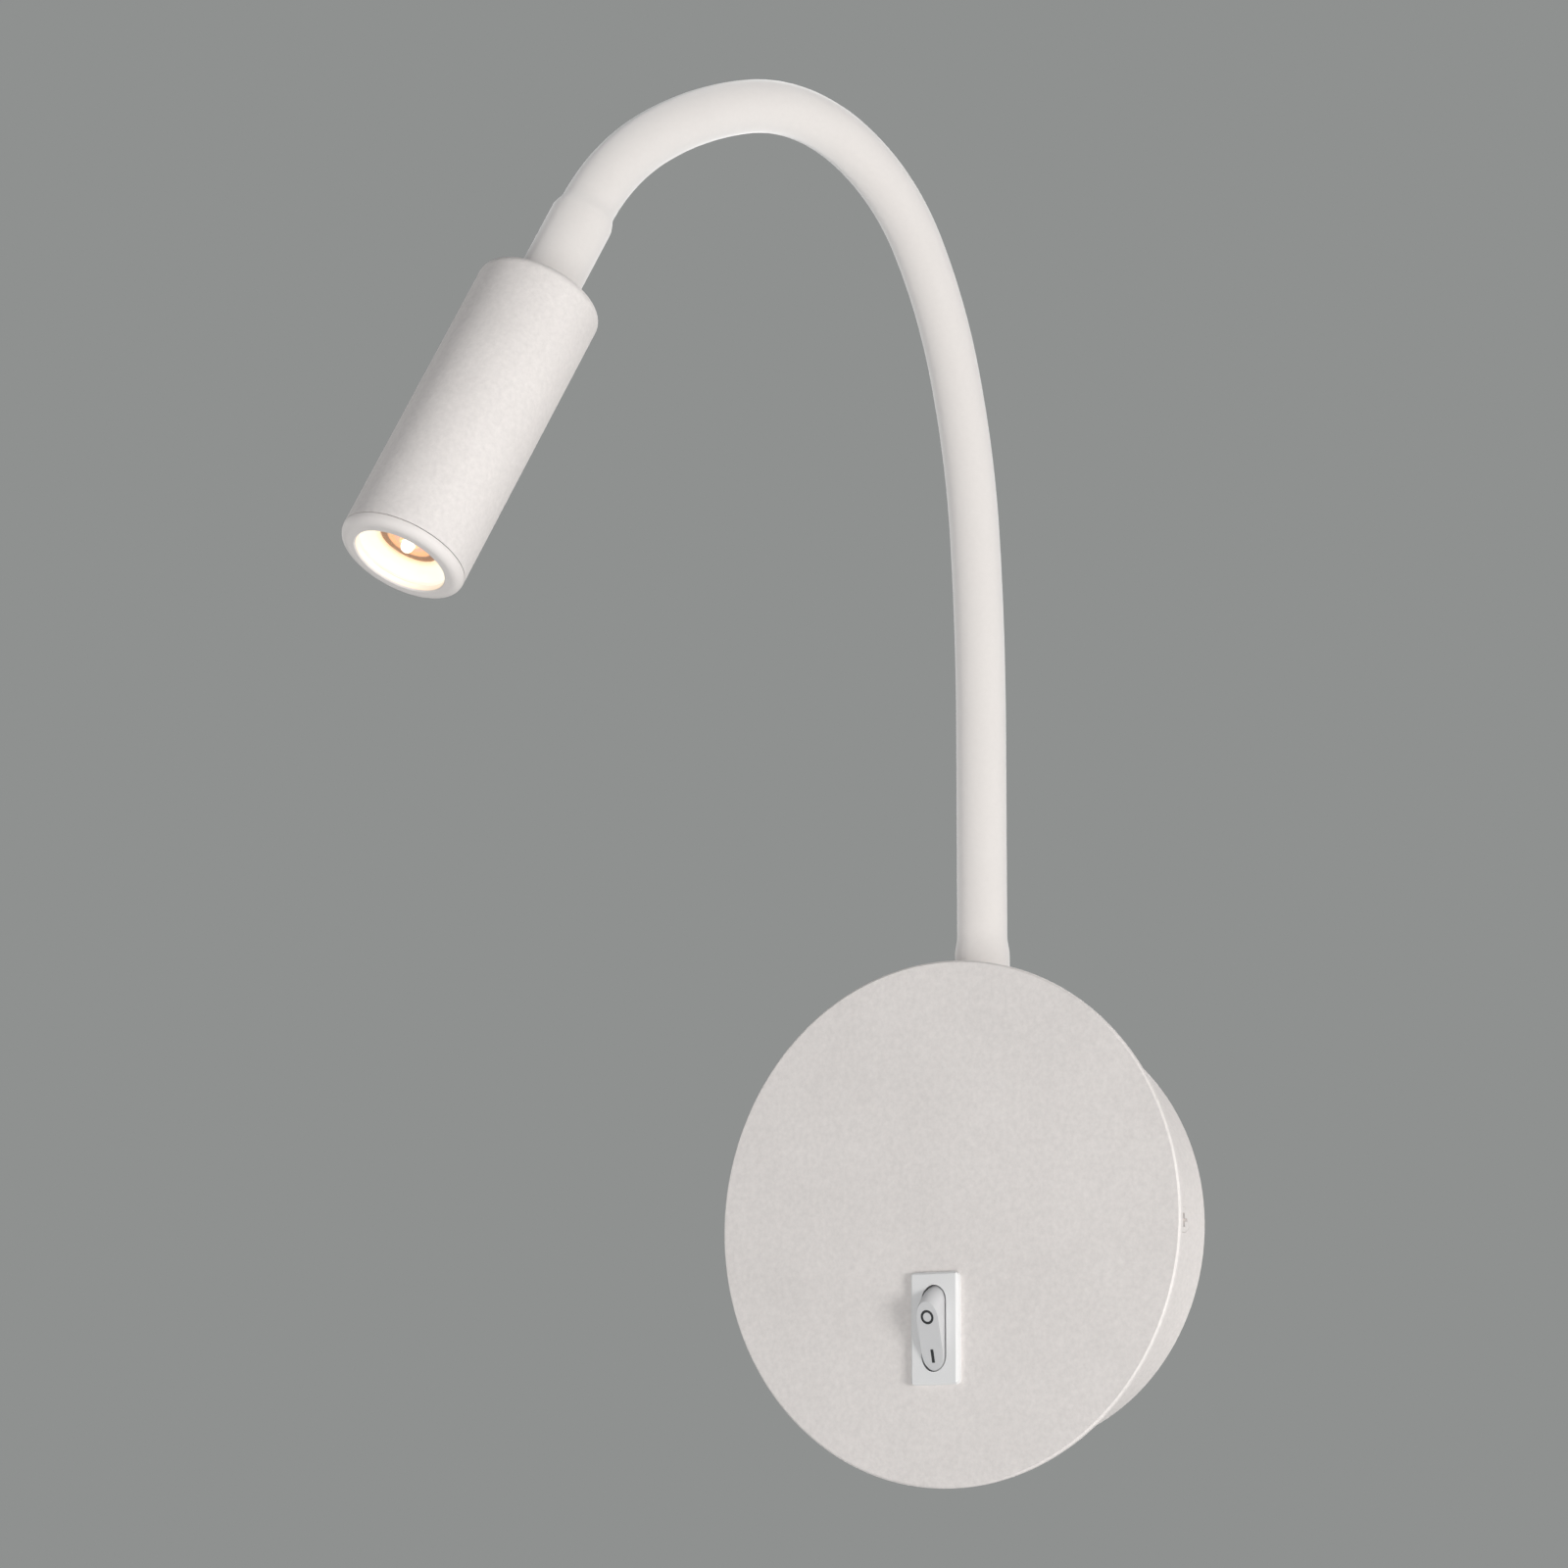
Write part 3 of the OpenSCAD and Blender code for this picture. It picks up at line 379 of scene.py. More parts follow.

# %% [markdown]
# ## The lit parts
# The lamp is lit, so the chip shines by itself. What stands round it has the chip's light painted on as
# emission, in bands that fade into each other: the reflector, the lip of the front ring, and the board, which
# turns pink and orange with painted light, then dark with a painted shadow at its edge, where the reflector's
# hole meets it. The board's painted light and shadow are in its base colour too.

# %% The chip, and its light painted round it
CHIP_DEPTH = 69.7
UNLIT = (0, 0, 0, 1)
chip_place = head_top + head_axis * CHIP_DEPTH * MM


def lit(name, base, gloss, near, bands, strength, grain=2200, depth_mm=0.004, light_and_shade_in_base=False):
    """A finish with the chip's light painted on: one colour near the chip, then bands out from it.

    A band is a colour and the distances, in millimetres, where it starts and where it is full. The last
    switch puts the painted light and shade into the base colour as well.
    """
    tree = surface(name, grain_group, {
        "Tone": base, "Grain": grain, "Mottle": 0.02, "Gloss": gloss,
    }, depth_mm * MM, Emission_Strength=strength).node_tree
    colour = near
    for far, start_mm, reach_mm in bands:
        colour = add(tree, "ShaderNodeGroup", {
            "Source": chip_place, "Near": colour, "Far": far,
            "Start": start_mm * MM, "Reach": reach_mm * MM,
        }, node_tree=glow_group).outputs["Color"]
    # With the last switch on, the painted light and shade also colour the surface itself.
    shown_by = ["Emission Color", "Base Color"] if light_and_shade_in_base else ["Emission Color"]
    for label in shown_by:
        tree.links.new(colour, tree.nodes[PRINCIPLED].inputs[label])


# The reflector: the chip's light painted on, warm near the chip and cream further out.
lit("mirror_white", tone(235, 232, 225), 0.25, tone(255, 214, 160), [
    (tone(255, 250, 228), 6.9, 8.4), (tone(255, 252, 240), 9, 11),
], 0.85)
# The board: painted light, warm, then pink and orange, and a dark painted shadow at the edge of the
# reflector's hole, in its base colour too.
lit("board_white", tone(225, 205, 190), 0.4, tone(255, 226, 190), [
    (tone(250, 172, 144), 1.8, 3.2), (tone(244, 176, 116), 3.4, 4.4), (tone(122, 74, 26), 5.15, 5.75),
], 0.8, light_and_shade_in_base=True)
lit("phosphor", tone(236, 214, 170), 0.3, tone(255, 253, 246), [(tone(150, 112, 76), 1.55, 1.75)], 2.5)
# The front ring: white paint with the chip's light painted on its inner lip, and none beyond.
lit("ring_paint_and_painted_glow", tone(226, 221, 218), 0.62, tone(255, 246, 222), [
    (tone(255, 226, 184), 11.0, 11.5), (UNLIT, 11.45, 11.8),
], 0.55, grain=900, depth_mm=0.06)
print("chip at", [round(v, 4) for v in chip_place])

# %% Clear lens
surface("clear_lens", grain_group, {
    "Tone": tone(252, 251, 248), "Grain": 300, "Mottle": 0.01, "Gloss": 0.06,
}, 0.0005 * MM, IOR=1.49, Transmission_Weight=1.0)
print("finishes:", len(finishes))

# %% [markdown]
# ## Dressing the solids
# The record says which finish each solid takes, so one loop dresses them all. Solids that a finer piece
# replaces later are dressed too, so nothing is ever left bare.

# %% Dress the solids
for row in frame["record"]["subparts"]:
    mesh = nodes[row["node"]].data
    mesh.materials.clear()
    mesh.materials.append(finishes[row["material_slot"]])
# The front ring takes the white paint with the chip's light painted on its lip.
nodes["front_ring"].data.materials[0] = finishes["ring_paint_and_painted_glow"]

# %% [markdown]
# ## From node trees to plain pieces
# Geometry Nodes grow what repeats or follows a path. A tree is only a recipe, so each result is turned into a
# plain mesh that sits at the origin, with its place in its points, and the recipe's object is thrown away.

# %% Growing pieces
GEOMETRY = "NodeSocketGeometry"
INTEGER = "NodeSocketInt"
BOOLEAN = "NodeSocketBool"
MATERIAL = "NodeSocketMaterial"
SHARP_EDGE = math.radians(35)


def geometry_tree(name, inputs):
    """A geometry tree with a geometry in, named sizes, a finish, and a geometry out."""
    sockets = [("Geometry", GEOMETRY, None), *inputs, ("Finish", MATERIAL, None)]
    return new_group("GeometryNodeTree", name, sockets, [("Geometry", GEOMETRY)])


def close_tree(tree, start, end, shape):
    """Every tree ends by making instances real and setting the finish."""
    real = add(tree, "GeometryNodeRealizeInstances", {"Geometry": shape})
    done = add(tree, "GeometryNodeSetMaterial", {
        "Geometry": real.outputs["Geometry"], "Material": start.outputs["Finish"],
    })
    tree.links.new(done.outputs["Geometry"], end.inputs["Geometry"])


def settle(name, source, finish=None):
    """A plain piece from an object and its modifiers. The source is removed."""
    bpy.context.view_layer.update()
    depsgraph = bpy.context.evaluated_depsgraph_get()
    mesh = bpy.data.meshes.new_from_object(source.evaluated_get(depsgraph))
    bpy.data.objects.remove(source)
    mesh.name = name
    if finish:
        mesh.materials.clear()
        mesh.materials.append(finish)
    mesh.polygons.foreach_set("use_smooth", [True] * len(mesh.polygons))
    mesh.set_sharp_from_angle(angle=SHARP_EDGE)
    piece = bpy.data.objects.new(name, mesh)
    collection.objects.link(piece)
    return piece


def grow(name, data, tree, sizes, finish):
    """The tree run on a curve or a set of points, with its sizes set by each socket's identifier."""
    source = bpy.data.objects.new(name + "_source", data)
    collection.objects.link(source)
    recipe = source.modifiers.new("recipe", "NODES")
    recipe.node_group = tree
    for item in tree.interface.items_tree:
        if item.in_out == "INPUT" and item.name in sizes:
            recipe[item.identifier] = sizes[item.name]
        elif item.in_out == "INPUT" and item.name == "Finish":
            recipe[item.identifier] = finishes[finish]
    return settle(name, source)


def path_curve(name, lines, radii=None):
    """A curve along each line of points. Every point can have its own radius."""
    curve = bpy.data.curves.new(name, "CURVE")
    curve.dimensions = "3D"
    curve.twist_mode = "MINIMUM"
    for points in lines:
        spline = curve.splines.new("POLY")
        spline.points.add(len(points) - 1)
        for i, point in enumerate(points):
            spline.points[i].co = (*point, 1)
            spline.points[i].radius = radii[i] if radii else 1.0
    return curve


def dress(piece, body, slot, *replaced):
    """The piece rides on a body and stands for the solids named, which are hidden. The slot is not used."""
    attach(piece, body)
    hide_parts(*replaced)


print("helpers for growing ready")

# %% [markdown]
# ## The silicone sleeve
# On the real light one soft sleeve covers the gooseneck from the drum to the head, stretched over a ferrule
# at each end. It bends wherever the gooseneck bends. A tree sweeps a circle along the arm's line, scaled by
# the line's own radius, and Solidify gives the skin its wall. The sleeve is cut halfway between bending
# stations, so each length spans one station.
# A very short first and last step makes each cut square to the arm, so no gap opens on the arch's outer side.

# %% Sleeve sweep
SLEEVE_R = 5.8
FOOT_R = 6.35
ARCH_R = 6.3
HEAD_R = 7.25
FOOT_SWELL = (-9, -4.5)
FLARE = (145, 263)
HEAD_SWELL = (arm_length - 1, arm_length + 2.9)
TUCK_DEPTH = 0.45
TUCK_LENGTH = 1.0
HEAD_GAP = 0.05
SLEEVE_WALL = 0.8
SLEEVE_STEP = 1.0
SLEEVE_AROUND = 56
SQUARE_END = 0.1
# Reach before and after each station, in millimetres, given to bend_with_arm
BEND_REACH = (12.5, 17, 17, 12.5, 12.5, 12.5, 12.5, 12.5)

sweep_tree, sweep_in, sweep_out = geometry_tree("Sleeve sweep", [("Around", INTEGER, 48)])
ring = add(sweep_tree, "GeometryNodeCurvePrimitiveCircle", {
    "Resolution": sweep_in.outputs["Around"], "Radius": 1.0,
})
skin = add(sweep_tree, "GeometryNodeCurveToMesh", {
    "Curve": sweep_in.outputs["Geometry"], "Profile Curve": ring.outputs["Curve"],
    "Scale": add(sweep_tree, "GeometryNodeInputRadius").outputs["Radius"],
})
close_tree(sweep_tree, sweep_in, sweep_out, skin.outputs["Mesh"])


def share_between(value, low, high):
    """0 below low, 1 above high, even between."""
    return min(max((value - low) / (high - low), 0), 1)


def ease(value, low, high):
    """0 below low, 1 above high, smooth between."""
    share = share_between(value, low, high)
    return share * share * (3 - 2 * share)


def spaced(low, high, step):
    """Even places from low to high, about a step apart."""
    count = round((high - low) / step)
    return [low + (high - low) * i / count for i in range(count + 1)]


def sleeve_radius(s):
    """The sleeve's outside: stretched over the foot's spigot and the head's ferrule."""
    foot = (FOOT_R - SLEEVE_R) * (1 - ease(s, *FOOT_SWELL))
    flare = (ARCH_R - SLEEVE_R) * share_between(s, *FLARE)
    swell = (HEAD_R - ARCH_R) * ease(s, *HEAD_SWELL)
    tuck = TUCK_DEPTH * ease(s, arm_length + NECK - TUCK_LENGTH, arm_length + NECK)
    return (SLEEVE_R + foot + flare + swell - tuck) * MM


print("sleeve radius at the head:", round(sleeve_radius(arm_length + NECK / 2) / MM, 2), "mm")

# %% Sleeve lengths
stations = [sum(length for length, _ in LINKS[:k]) for k in range(len(LINKS))]
halfway = [(a + b) / 2 for a, b in zip(stations, stations[1:])]
cuts = [FOOT_START, *halfway, arm_length + NECK - HEAD_GAP]


def arm_solids(kind):
    """The solids that each length stands for. The last length stands for two."""
    names = [f"{kind}_{part}" for part in ("base", *range(1, len(LINKS)), "head")]
    return [[name] for name in names[:-2]] + [names[-2:]]


def bend_with_arm(piece, k, reach, replaced):
    """The piece's place goes into its points and the solids named are hidden; the arm's points a reach before
    and after station k are looked up and dropped.
    """
    arm_at(stations[k] - reach)[0]
    arm_at(stations[k] + reach)[0]
    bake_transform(piece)
    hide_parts(*replaced)


for k, replaced in enumerate(arm_solids("sleeve")):
    low, high = cuts[k], cuts[k + 1]
    between = spaced(low, high, SLEEVE_STEP)[1:-1]
    along = [low, low + SQUARE_END, *between, high - SQUARE_END, high]
    curve = path_curve("sleeve_line", [[arm_at(s)[0] for s in along]], [sleeve_radius(s) for s in along])
    skin = grow("sleeve_skin", curve, sweep_tree, {"Around": SLEEVE_AROUND}, "silicone")
    wall = skin.modifiers.new("wall", "SOLIDIFY")
    wall.thickness = SLEEVE_WALL * MM
    wall.offset = -1
    length = settle(f"sleeve_length_{k + 1}", skin)
    bend_with_arm(length, k, BEND_REACH[k], replaced)
print("sleeve in", len(stations), "lengths")

# %% [markdown]
# ## The wires in the drum
# Mains wires run from the terminal block to the switch, the driver and the earth screw. Their solids are
# eight-sided tubes along a few chosen points whose corners are cut to round them. The same points, cut once
# more, give smooth wires in the same place. The sweep also stores a UV map for the earth wire's stripe.

# %% Insulated wires
MAINS_R = 0.9
WIRE_AROUND = 16
WIRE_STEP = 0.9
POLE_Y = -7.0
POLE_Z = 13.8
POLE_OUT = 23.8
BLADE_Y = -5.5
DRIVER_END = (23.2, -21.5, 21.5)
ROUTES = {
    "wire_live": ("brown_wire", [
        (-8, POLE_Y, POLE_Z), (-8, POLE_Y, POLE_OUT), (-20, -8, 25), (-33, -10, 12), (-33, -11, -10),
        (-20, -8, -19), (-6.6, BLADE_Y, -19.1), (-1.1, BLADE_Y, -19.1),
    ]),
    "wire_switched": ("black_wire", [
        (-4.1, BLADE_Y, -23.9), (6, BLADE_Y, -25), (24, -7, -22), (33, -14, -5), (35, -20, 14),
        (30, *DRIVER_END[1:]), DRIVER_END,
    ]),
    "wire_neutral": ("blue_wire", [
        (0, POLE_Y, POLE_Z), (0, POLE_Y, POLE_OUT), (-10, -8, 32), (-26, -12, 29),
        (-30, *DRIVER_END[1:]), (-DRIVER_END[0], *DRIVER_END[1:]),
    ]),
    "wire_earth": ("earth_wire", [
        (8, POLE_Y, POLE_Z), (8, POLE_Y, POLE_OUT), (20, -6, 25), (32, -6, 12), (30, -5, -10),
        (24, -4, -15), (18.6, -4, -15),
    ]),
}


def stored(tree, shape, name, value, kind="FLOAT", domain="POINT"):
    """The shape with a value kept under a name."""
    return add(tree, "GeometryNodeStoreNamedAttribute", {
        "Geometry": shape, "Name": name, "Value": value,
    }, data_type=kind, domain=domain).outputs["Geometry"]


def kept(tree, name, kind="FLOAT"):
    """The value that was kept under a name."""
    return add(tree, "GeometryNodeInputNamedAttribute", {"Name": name}, data_type=kind).outputs[0]


wire_tree, wire_in, wire_out = geometry_tree("Insulated wire", [
    ("Radius", FLOAT, 0.001), ("Around", INTEGER, 12), ("Step", FLOAT, 0.001),
])
even = add(wire_tree, "GeometryNodeResampleCurve", {
    "Curve": wire_in.outputs["Geometry"], "Length": wire_in.outputs["Step"],
}, mode="LENGTH").outputs["Curve"]
ring = add(wire_tree, "GeometryNodeCurvePrimitiveCircle", {
    "Resolution": wire_in.outputs["Around"], "Radius": wire_in.outputs["Radius"],
}).outputs["Curve"]
run_share = add(wire_tree, "GeometryNodeSplineParameter").outputs["Factor"]
tube = add(wire_tree, "GeometryNodeCurveToMesh", {
    "Curve": stored(wire_tree, even, "along", run_share),
    "Profile Curve": stored(wire_tree, ring, "round", run_share), "Fill Caps": True,
}).outputs["Mesh"]
run_pair = vector(wire_tree, X=kept(wire_tree, "round"), Y=kept(wire_tree, "along"))
mapped = stored(wire_tree, tube, "run", run_pair, "FLOAT2", "CORNER")
close_tree(wire_tree, wire_in, wire_out, mapped)


def cut_corners(points):
    """Each corner replaced by two points, a quarter of the way along its sides."""
    cut = [points[0]]
    for a, b in zip(points, points[1:]):
        cut += [a.lerp(b, 0.25), a.lerp(b, 0.75)]
    return cut + [points[-1]]


def rounded(points):
    """The points with their corners cut until they look round."""
    for _ in range(3):
        points = cut_corners(points)
    return points


for node, (finish, route) in ROUTES.items():
    points = rounded([Vector(p) * MM for p in route])
    wire = grow(node + "_smooth", path_curve(node, [points]), wire_tree, {
        "Radius": MAINS_R * MM, "Around": WIRE_AROUND, "Step": WIRE_STEP * MM,
    }, finish)
    dress(wire, "base", finish, node)
print("wires:", len(ROUTES))

# %% [markdown]
# ## The pair inside the arm
# Two thin wires run from the driver up through the gooseneck's bore to the chip's board. They are cut where
# the sleeve is cut, so each length spans one bending station.

# %% Low-voltage pair
PAIR_R = 0.65
PAIR_HALF = 0.75
PAIR_AROUND = 12
PAIR_REACH = 5.0
PAIR_STEP = 1.0
FOOT_ROUTE = ((-21.5, 30.05), (-21.5, 32.3), (-17.6, 35.3), (-13.7, 36.3), (-13.7, 45))
FOOT_END = -27
TWIST_END = -5
THREAD_LEN = 10
HEAD_LEAD = 18
HEAD_ROUTE = ((4.95, 2, 27.4), (9.9, 1, 40.75), (9.9, 1, 68.35))
arm_side = Vector((math.cos(ARM_SWING), math.sin(ARM_SWING), 0))
head_turn = Matrix((arm_side, head_axis.cross(arm_side), head_axis)).transposed()


def pair_line(side, low, high):
    """One wire of the pair, on side -1 or 1, between two places on the arm's line."""
    off = side * PAIR_HALF
    points = []
    for s in spaced(low, high, PAIR_STEP):
        across = Vector((1, 0, 0)).lerp(arm_side, ease(s, FOOT_END, TWIST_END))
        points.append(arm_at(s)[0] + across * off * MM)
    if low == FOOT_END:
        points = rounded([Vector((off, y, z)) * MM for y, z in FOOT_ROUTE])[:-1] + points
    if high > arm_length:
        route = [(off, 0, HEAD_LEAD), *[(x, share * off, z) for x, share, z in HEAD_ROUTE]]
        points += rounded([points[-1], *[head_top + head_turn @ Vector(p) * MM for p in route]])[1:]
    return points


pair_cuts = [FOOT_END, *halfway, arm_length + NECK + THREAD_LEN]
for k, replaced in enumerate(arm_solids("wires")):
    runs = [pair_line(side, pair_cuts[k], pair_cuts[k + 1]) for side in (-1, 1)]
    length = grow(f"pair_length_{k + 1}", path_curve("pair_lines", runs), wire_tree, {
        "Radius": PAIR_R * MM, "Around": PAIR_AROUND, "Step": PAIR_STEP * MM,
    }, "white_wire")
    bend_with_arm(length, k, PAIR_REACH, replaced)
print("pair in", len(stations), "lengths")

# %% [markdown]
# ## Screws and nuts
# Fasteners repeat, so one tree makes any screw and another any nut. The points of a small mesh say where
# they stand, and an `aim` on each point says which way they look. A recess is cut with a boolean: two crossed
# bars for a cross recess, one long bar for a slot.

# %% Helpers for fasteners
SCREW_AROUND = 48


def at_points(tree, start, shape):
    """The shape on every point, its Z turned to the point's aim."""
    turn = add(tree, "FunctionNodeAlignRotationToVector", {
        "Vector": kept(tree, "aim", "FLOAT_VECTOR"),
    }, axis="Z")
    return add(tree, "GeometryNodeInstanceOnPoints", {
        "Points": start.outputs["Geometry"], "Instance": shape, "Rotation": turn.outputs[0],
    }).outputs["Instances"]


def down(tree, *lengths):
    """A vector down the Z axis by the sum of the lengths, each given with its share."""
    total = 0.0
    for length, share in lengths:
        total = maths(tree, "MULTIPLY_ADD", length, -share, total)
    return vector(tree, Z=total)


def moved(tree, shape, step):
    """The shape, moved by a vector."""
    return add(tree, "GeometryNodeTransform", {"Geometry": shape, "Translation": step}).outputs["Geometry"]


def boolean(tree, operation, shapes, first=None):
    """Closed shapes joined or crossed. A difference cuts them from the first shape."""
    inputs = {"Mesh 2": shapes} if first is None else {"Mesh 1": first, "Mesh 2": shapes}
    return add(tree, "GeometryNodeMeshBoolean", inputs, operation=operation, solver="EXACT").outputs["Mesh"]


print("helpers for fasteners ready")

# %% Screw tree
# Share of the head's height at which the shank starts
SHANK_ROOT = 0.9

screw_tree, screw_in, screw_out = geometry_tree("Screw", [
    ("Head radius", FLOAT, 0.003), ("Neck radius", FLOAT, 0.003), ("Head height", FLOAT, 0.002),
    ("Shank radius", FLOAT, 0.0015), ("Shank length", FLOAT, 0.01), ("Recess length", FLOAT, 0.003),
    ("Recess width", FLOAT, 0.0008), ("Recess depth", FLOAT, 0.001), ("Cross", BOOLEAN, True),
])
size = screw_in.outputs
head = add(screw_tree, "GeometryNodeMeshCone", {
    "Vertices": SCREW_AROUND, "Radius Top": size["Head radius"], "Radius Bottom": size["Neck radius"],
    "Depth": size["Head height"],
}).outputs["Mesh"]
shank = add(screw_tree, "GeometryNodeMeshCylinder", {
    "Vertices": SCREW_AROUND, "Radius": size["Shank radius"], "Depth": size["Shank length"],
}).outputs["Mesh"]
head_step = down(screw_tree, (size["Head height"], 1.0))
shank_step = down(screw_tree, (size["Head height"], SHANK_ROOT), (size["Shank length"], 0.5))
whole = boolean(screw_tree, "UNION", [
    moved(screw_tree, head, head_step), moved(screw_tree, shank, shank_step),
])
twice_deep = maths(screw_tree, "MULTIPLY", size["Recess depth"], 2.0)
bar_size = vector(screw_tree, X=size["Recess length"], Y=size["Recess width"], Z=twice_deep)
cross_size = vector(screw_tree, X=size["Recess width"], Y=size["Recess length"], Z=twice_deep)
other_size = add(screw_tree, "GeometryNodeSwitch", {
    "Switch": size["Cross"], "False": bar_size, "True": cross_size,
}, input_type="VECTOR").outputs[0]
bars = boolean(screw_tree, "UNION", [
    add(screw_tree, "GeometryNodeMeshCube", {"Size": bar}).outputs["Mesh"] for bar in (bar_size, other_size)
])
cut_screw = boolean(screw_tree, "DIFFERENCE", bars, first=whole)
close_tree(screw_tree, screw_in, screw_out, at_points(screw_tree, screw_in, cut_screw))
print("screw tree:", len(screw_tree.nodes), "nodes")

# %% Nut tree
nut_tree, nut_in, nut_out = geometry_tree("Hex nut", [
    ("Corner radius", FLOAT, 0.003), ("Flat radius", FLOAT, 0.0027), ("Chamfer base", FLOAT, 0.006),
    ("Height", FLOAT, 0.002), ("Bore radius", FLOAT, 0.0015),
])
size = nut_in.outputs
prism = add(nut_tree, "GeometryNodeMeshCylinder", {
    "Vertices": 6, "Radius": size["Corner radius"], "Depth": size["Height"],
}).outputs["Mesh"]
chamfer = add(nut_tree, "GeometryNodeMeshCone", {
    "Vertices": SCREW_AROUND, "Radius Top": size["Flat radius"], "Radius Bottom": size["Chamfer base"],
    "Depth": size["Height"],
}).outputs["Mesh"]
bore = add(nut_tree, "GeometryNodeMeshCylinder", {
    "Vertices": SCREW_AROUND, "Radius": size["Bore radius"],
    "Depth": maths(nut_tree, "MULTIPLY", size["Height"], 2.0),
}).outputs["Mesh"]
half_up = vector(nut_tree, Z=maths(nut_tree, "MULTIPLY", size["Height"], 0.5))
trimmed = boolean(nut_tree, "INTERSECT", [moved(nut_tree, prism, half_up), chamfer])
drilled = boolean(nut_tree, "DIFFERENCE", moved(nut_tree, bore, half_up), first=trimmed)
close_tree(nut_tree, nut_in, nut_out, at_points(nut_tree, nut_in, drilled))
print("nut tree:", len(nut_tree.nodes), "nodes")

# %% Screws and nuts in place
SCREW_LENGTHS = (
    "Head radius", "Neck radius", "Head height", "Shank radius", "Shank length",
    "Recess length", "Recess width", "Recess depth",
)
CHAMFER_SHARE = 0.97
BORE_ROOM = 0.02
FRONT = (0, -1, 0)
STUD_RING = 43.7
EARTH_X = 15
EARTH_Z = -15


def aimed_points(name, places):
    """Loose points in millimetres, each with the way that it looks."""
    mesh = bpy.data.meshes.new(name)
    mesh.from_pydata([Vector(p) * MM for p, _ in places], [], [])
    aim = mesh.attributes.new("aim", "FLOAT_VECTOR", "POINT")
    aim.data.foreach_set("vector", [c for _, way in places for c in way])
    return mesh


def in_metres(sizes):
    """Sizes in millimetres as metres."""
    return {label: length * MM for label, length in sizes.items()}


def screw_sizes(head, shank, recess, cross):
    """A screw's head, shank and recess in millimetres, and whether the recess is a cross."""
    return {**in_metres(dict(zip(SCREW_LENGTHS, (*head, *shank, *recess)))), "Cross": cross}


def nut_sizes(thread, flats, height):
    """A nut's sizes from its thread, its width across flats and its height, all in millimetres."""
    flat = flats / 2 * CHAMFER_SHARE
    return in_metres({
        "Corner radius": flats / math.sqrt(3), "Flat radius": flat, "Height": height,
        "Chamfer base": flat + height * math.sqrt(3), "Bore radius": thread / 2 + BORE_ROOM,
    })


stud_turns = [math.radians(a) for a in (30, 150, 270)]
# Piece, solid, tree, finish, places with the way each looks, sizes
FASTENERS = [
    ("side_screw_pair", "side_screws", screw_tree, "white_paint",
     [((49.95, -10, 0), (1, 0, 0)), ((-49.95, -10, 0), (-1, 0, 0))],
     screw_sizes((2.8, 1.5, 1.3), (1.5, 7.0), (3.2, 0.75, 0.9), True)),
    ("terminal_screw_set", "terminal_screws", screw_tree, "steel",
     [((x, -12, POLE_Z), FRONT) for x in (-8, 0, 8)],
     screw_sizes((1.55, 1.55, 1.2), (1.5, 2.4), (4.0, 0.5, 0.7), False)),
    ("earth_screw_head", "earth_screw", screw_tree, "brass",
     [((EARTH_X, -5.4, EARTH_Z), FRONT)],
     screw_sizes((3.5, 3.5, 2.4), (1.98, 3.2), (4.0, 0.9, 1.3), True)),
    ("plate_nut_set", "plate_nuts", nut_tree, "steel",
     [((STUD_RING * math.cos(a), -28.0, STUD_RING * math.sin(a)), (0, 1, 0)) for a in stud_turns],
     nut_sizes(3, 5.49, 2.4)),
    ("foot_nut", "base_nut", nut_tree, "steel",
     [((0, -13.7, 45.3), (0, 0, -1))],
     nut_sizes(10, 14, 4)),
]
for name, node, tree, finish, places, sizes in FASTENERS:
    piece = grow(name, aimed_points(name, places), tree, sizes, finish)
    dress(piece, "base", finish, node)
    print(name, len(piece.data.polygons), "faces")

# %% [markdown]
# ## Turned and stacked pieces
# Two more helpers make closed shapes by hand: `turned` spins a closed section round an axis, as a lathe does,
# and `stacked` joins outlines of the same count of points, one above the other, and caps the ends.

# %% Turned and stacked helpers
TURN_AROUND = 64


def hand_made(name, build, matrix, finish):
    """A piece from a bmesh, moved to its place, with its faces turned outwards."""
    shape = bmesh.new()
    build(shape)
    bmesh.ops.transform(shape, matrix=matrix, verts=shape.verts)
    bmesh.ops.recalc_face_normals(shape, faces=shape.faces)
    mesh = bpy.data.meshes.new(name)
    shape.to_mesh(mesh)
    shape.free()
    source = bpy.data.objects.new(name + "_source", mesh)
    collection.objects.link(source)
    return settle(name, source, finishes[finish])


def join_rings(shape, rings, closed):
    """Quads between neighbouring rings of points, and from the last to the first if closed."""
    pairs = list(zip(rings, rings[1:])) + ([(rings[-1], rings[0])] if closed else [])
    for low, high in pairs:
        for i in range(len(low)):
            k = (i + 1) % len(low)
            shape.faces.new((low[i], low[k], high[k], high[i]))


def turned(name, section, matrix, finish):
    """A closed section of (radius, height) points in millimetres, spun round Z."""
    def build(shape):
        angles = [2 * math.pi * i / TURN_AROUND for i in range(TURN_AROUND)]
        circle = [(math.cos(a), math.sin(a)) for a in angles]
        rings = [
            [shape.verts.new((radius * x * MM, radius * y * MM, height * MM)) for x, y in circle]
            for radius, height in section
        ]
        join_rings(shape, rings, True)
    return hand_made(name, build, matrix, finish)


def stacked(name, layers, matrix, finish):
    """Outlines with heights, all in millimetres, joined in order and capped."""
    def build(shape):
        rings = [[shape.verts.new((x * MM, y * MM, z * MM)) for x, y in outline] for outline, z in layers]
        join_rings(shape, rings, False)
        shape.faces.new(rings[0])
        shape.faces.new(rings[-1])
    return hand_made(name, build, matrix, finish)


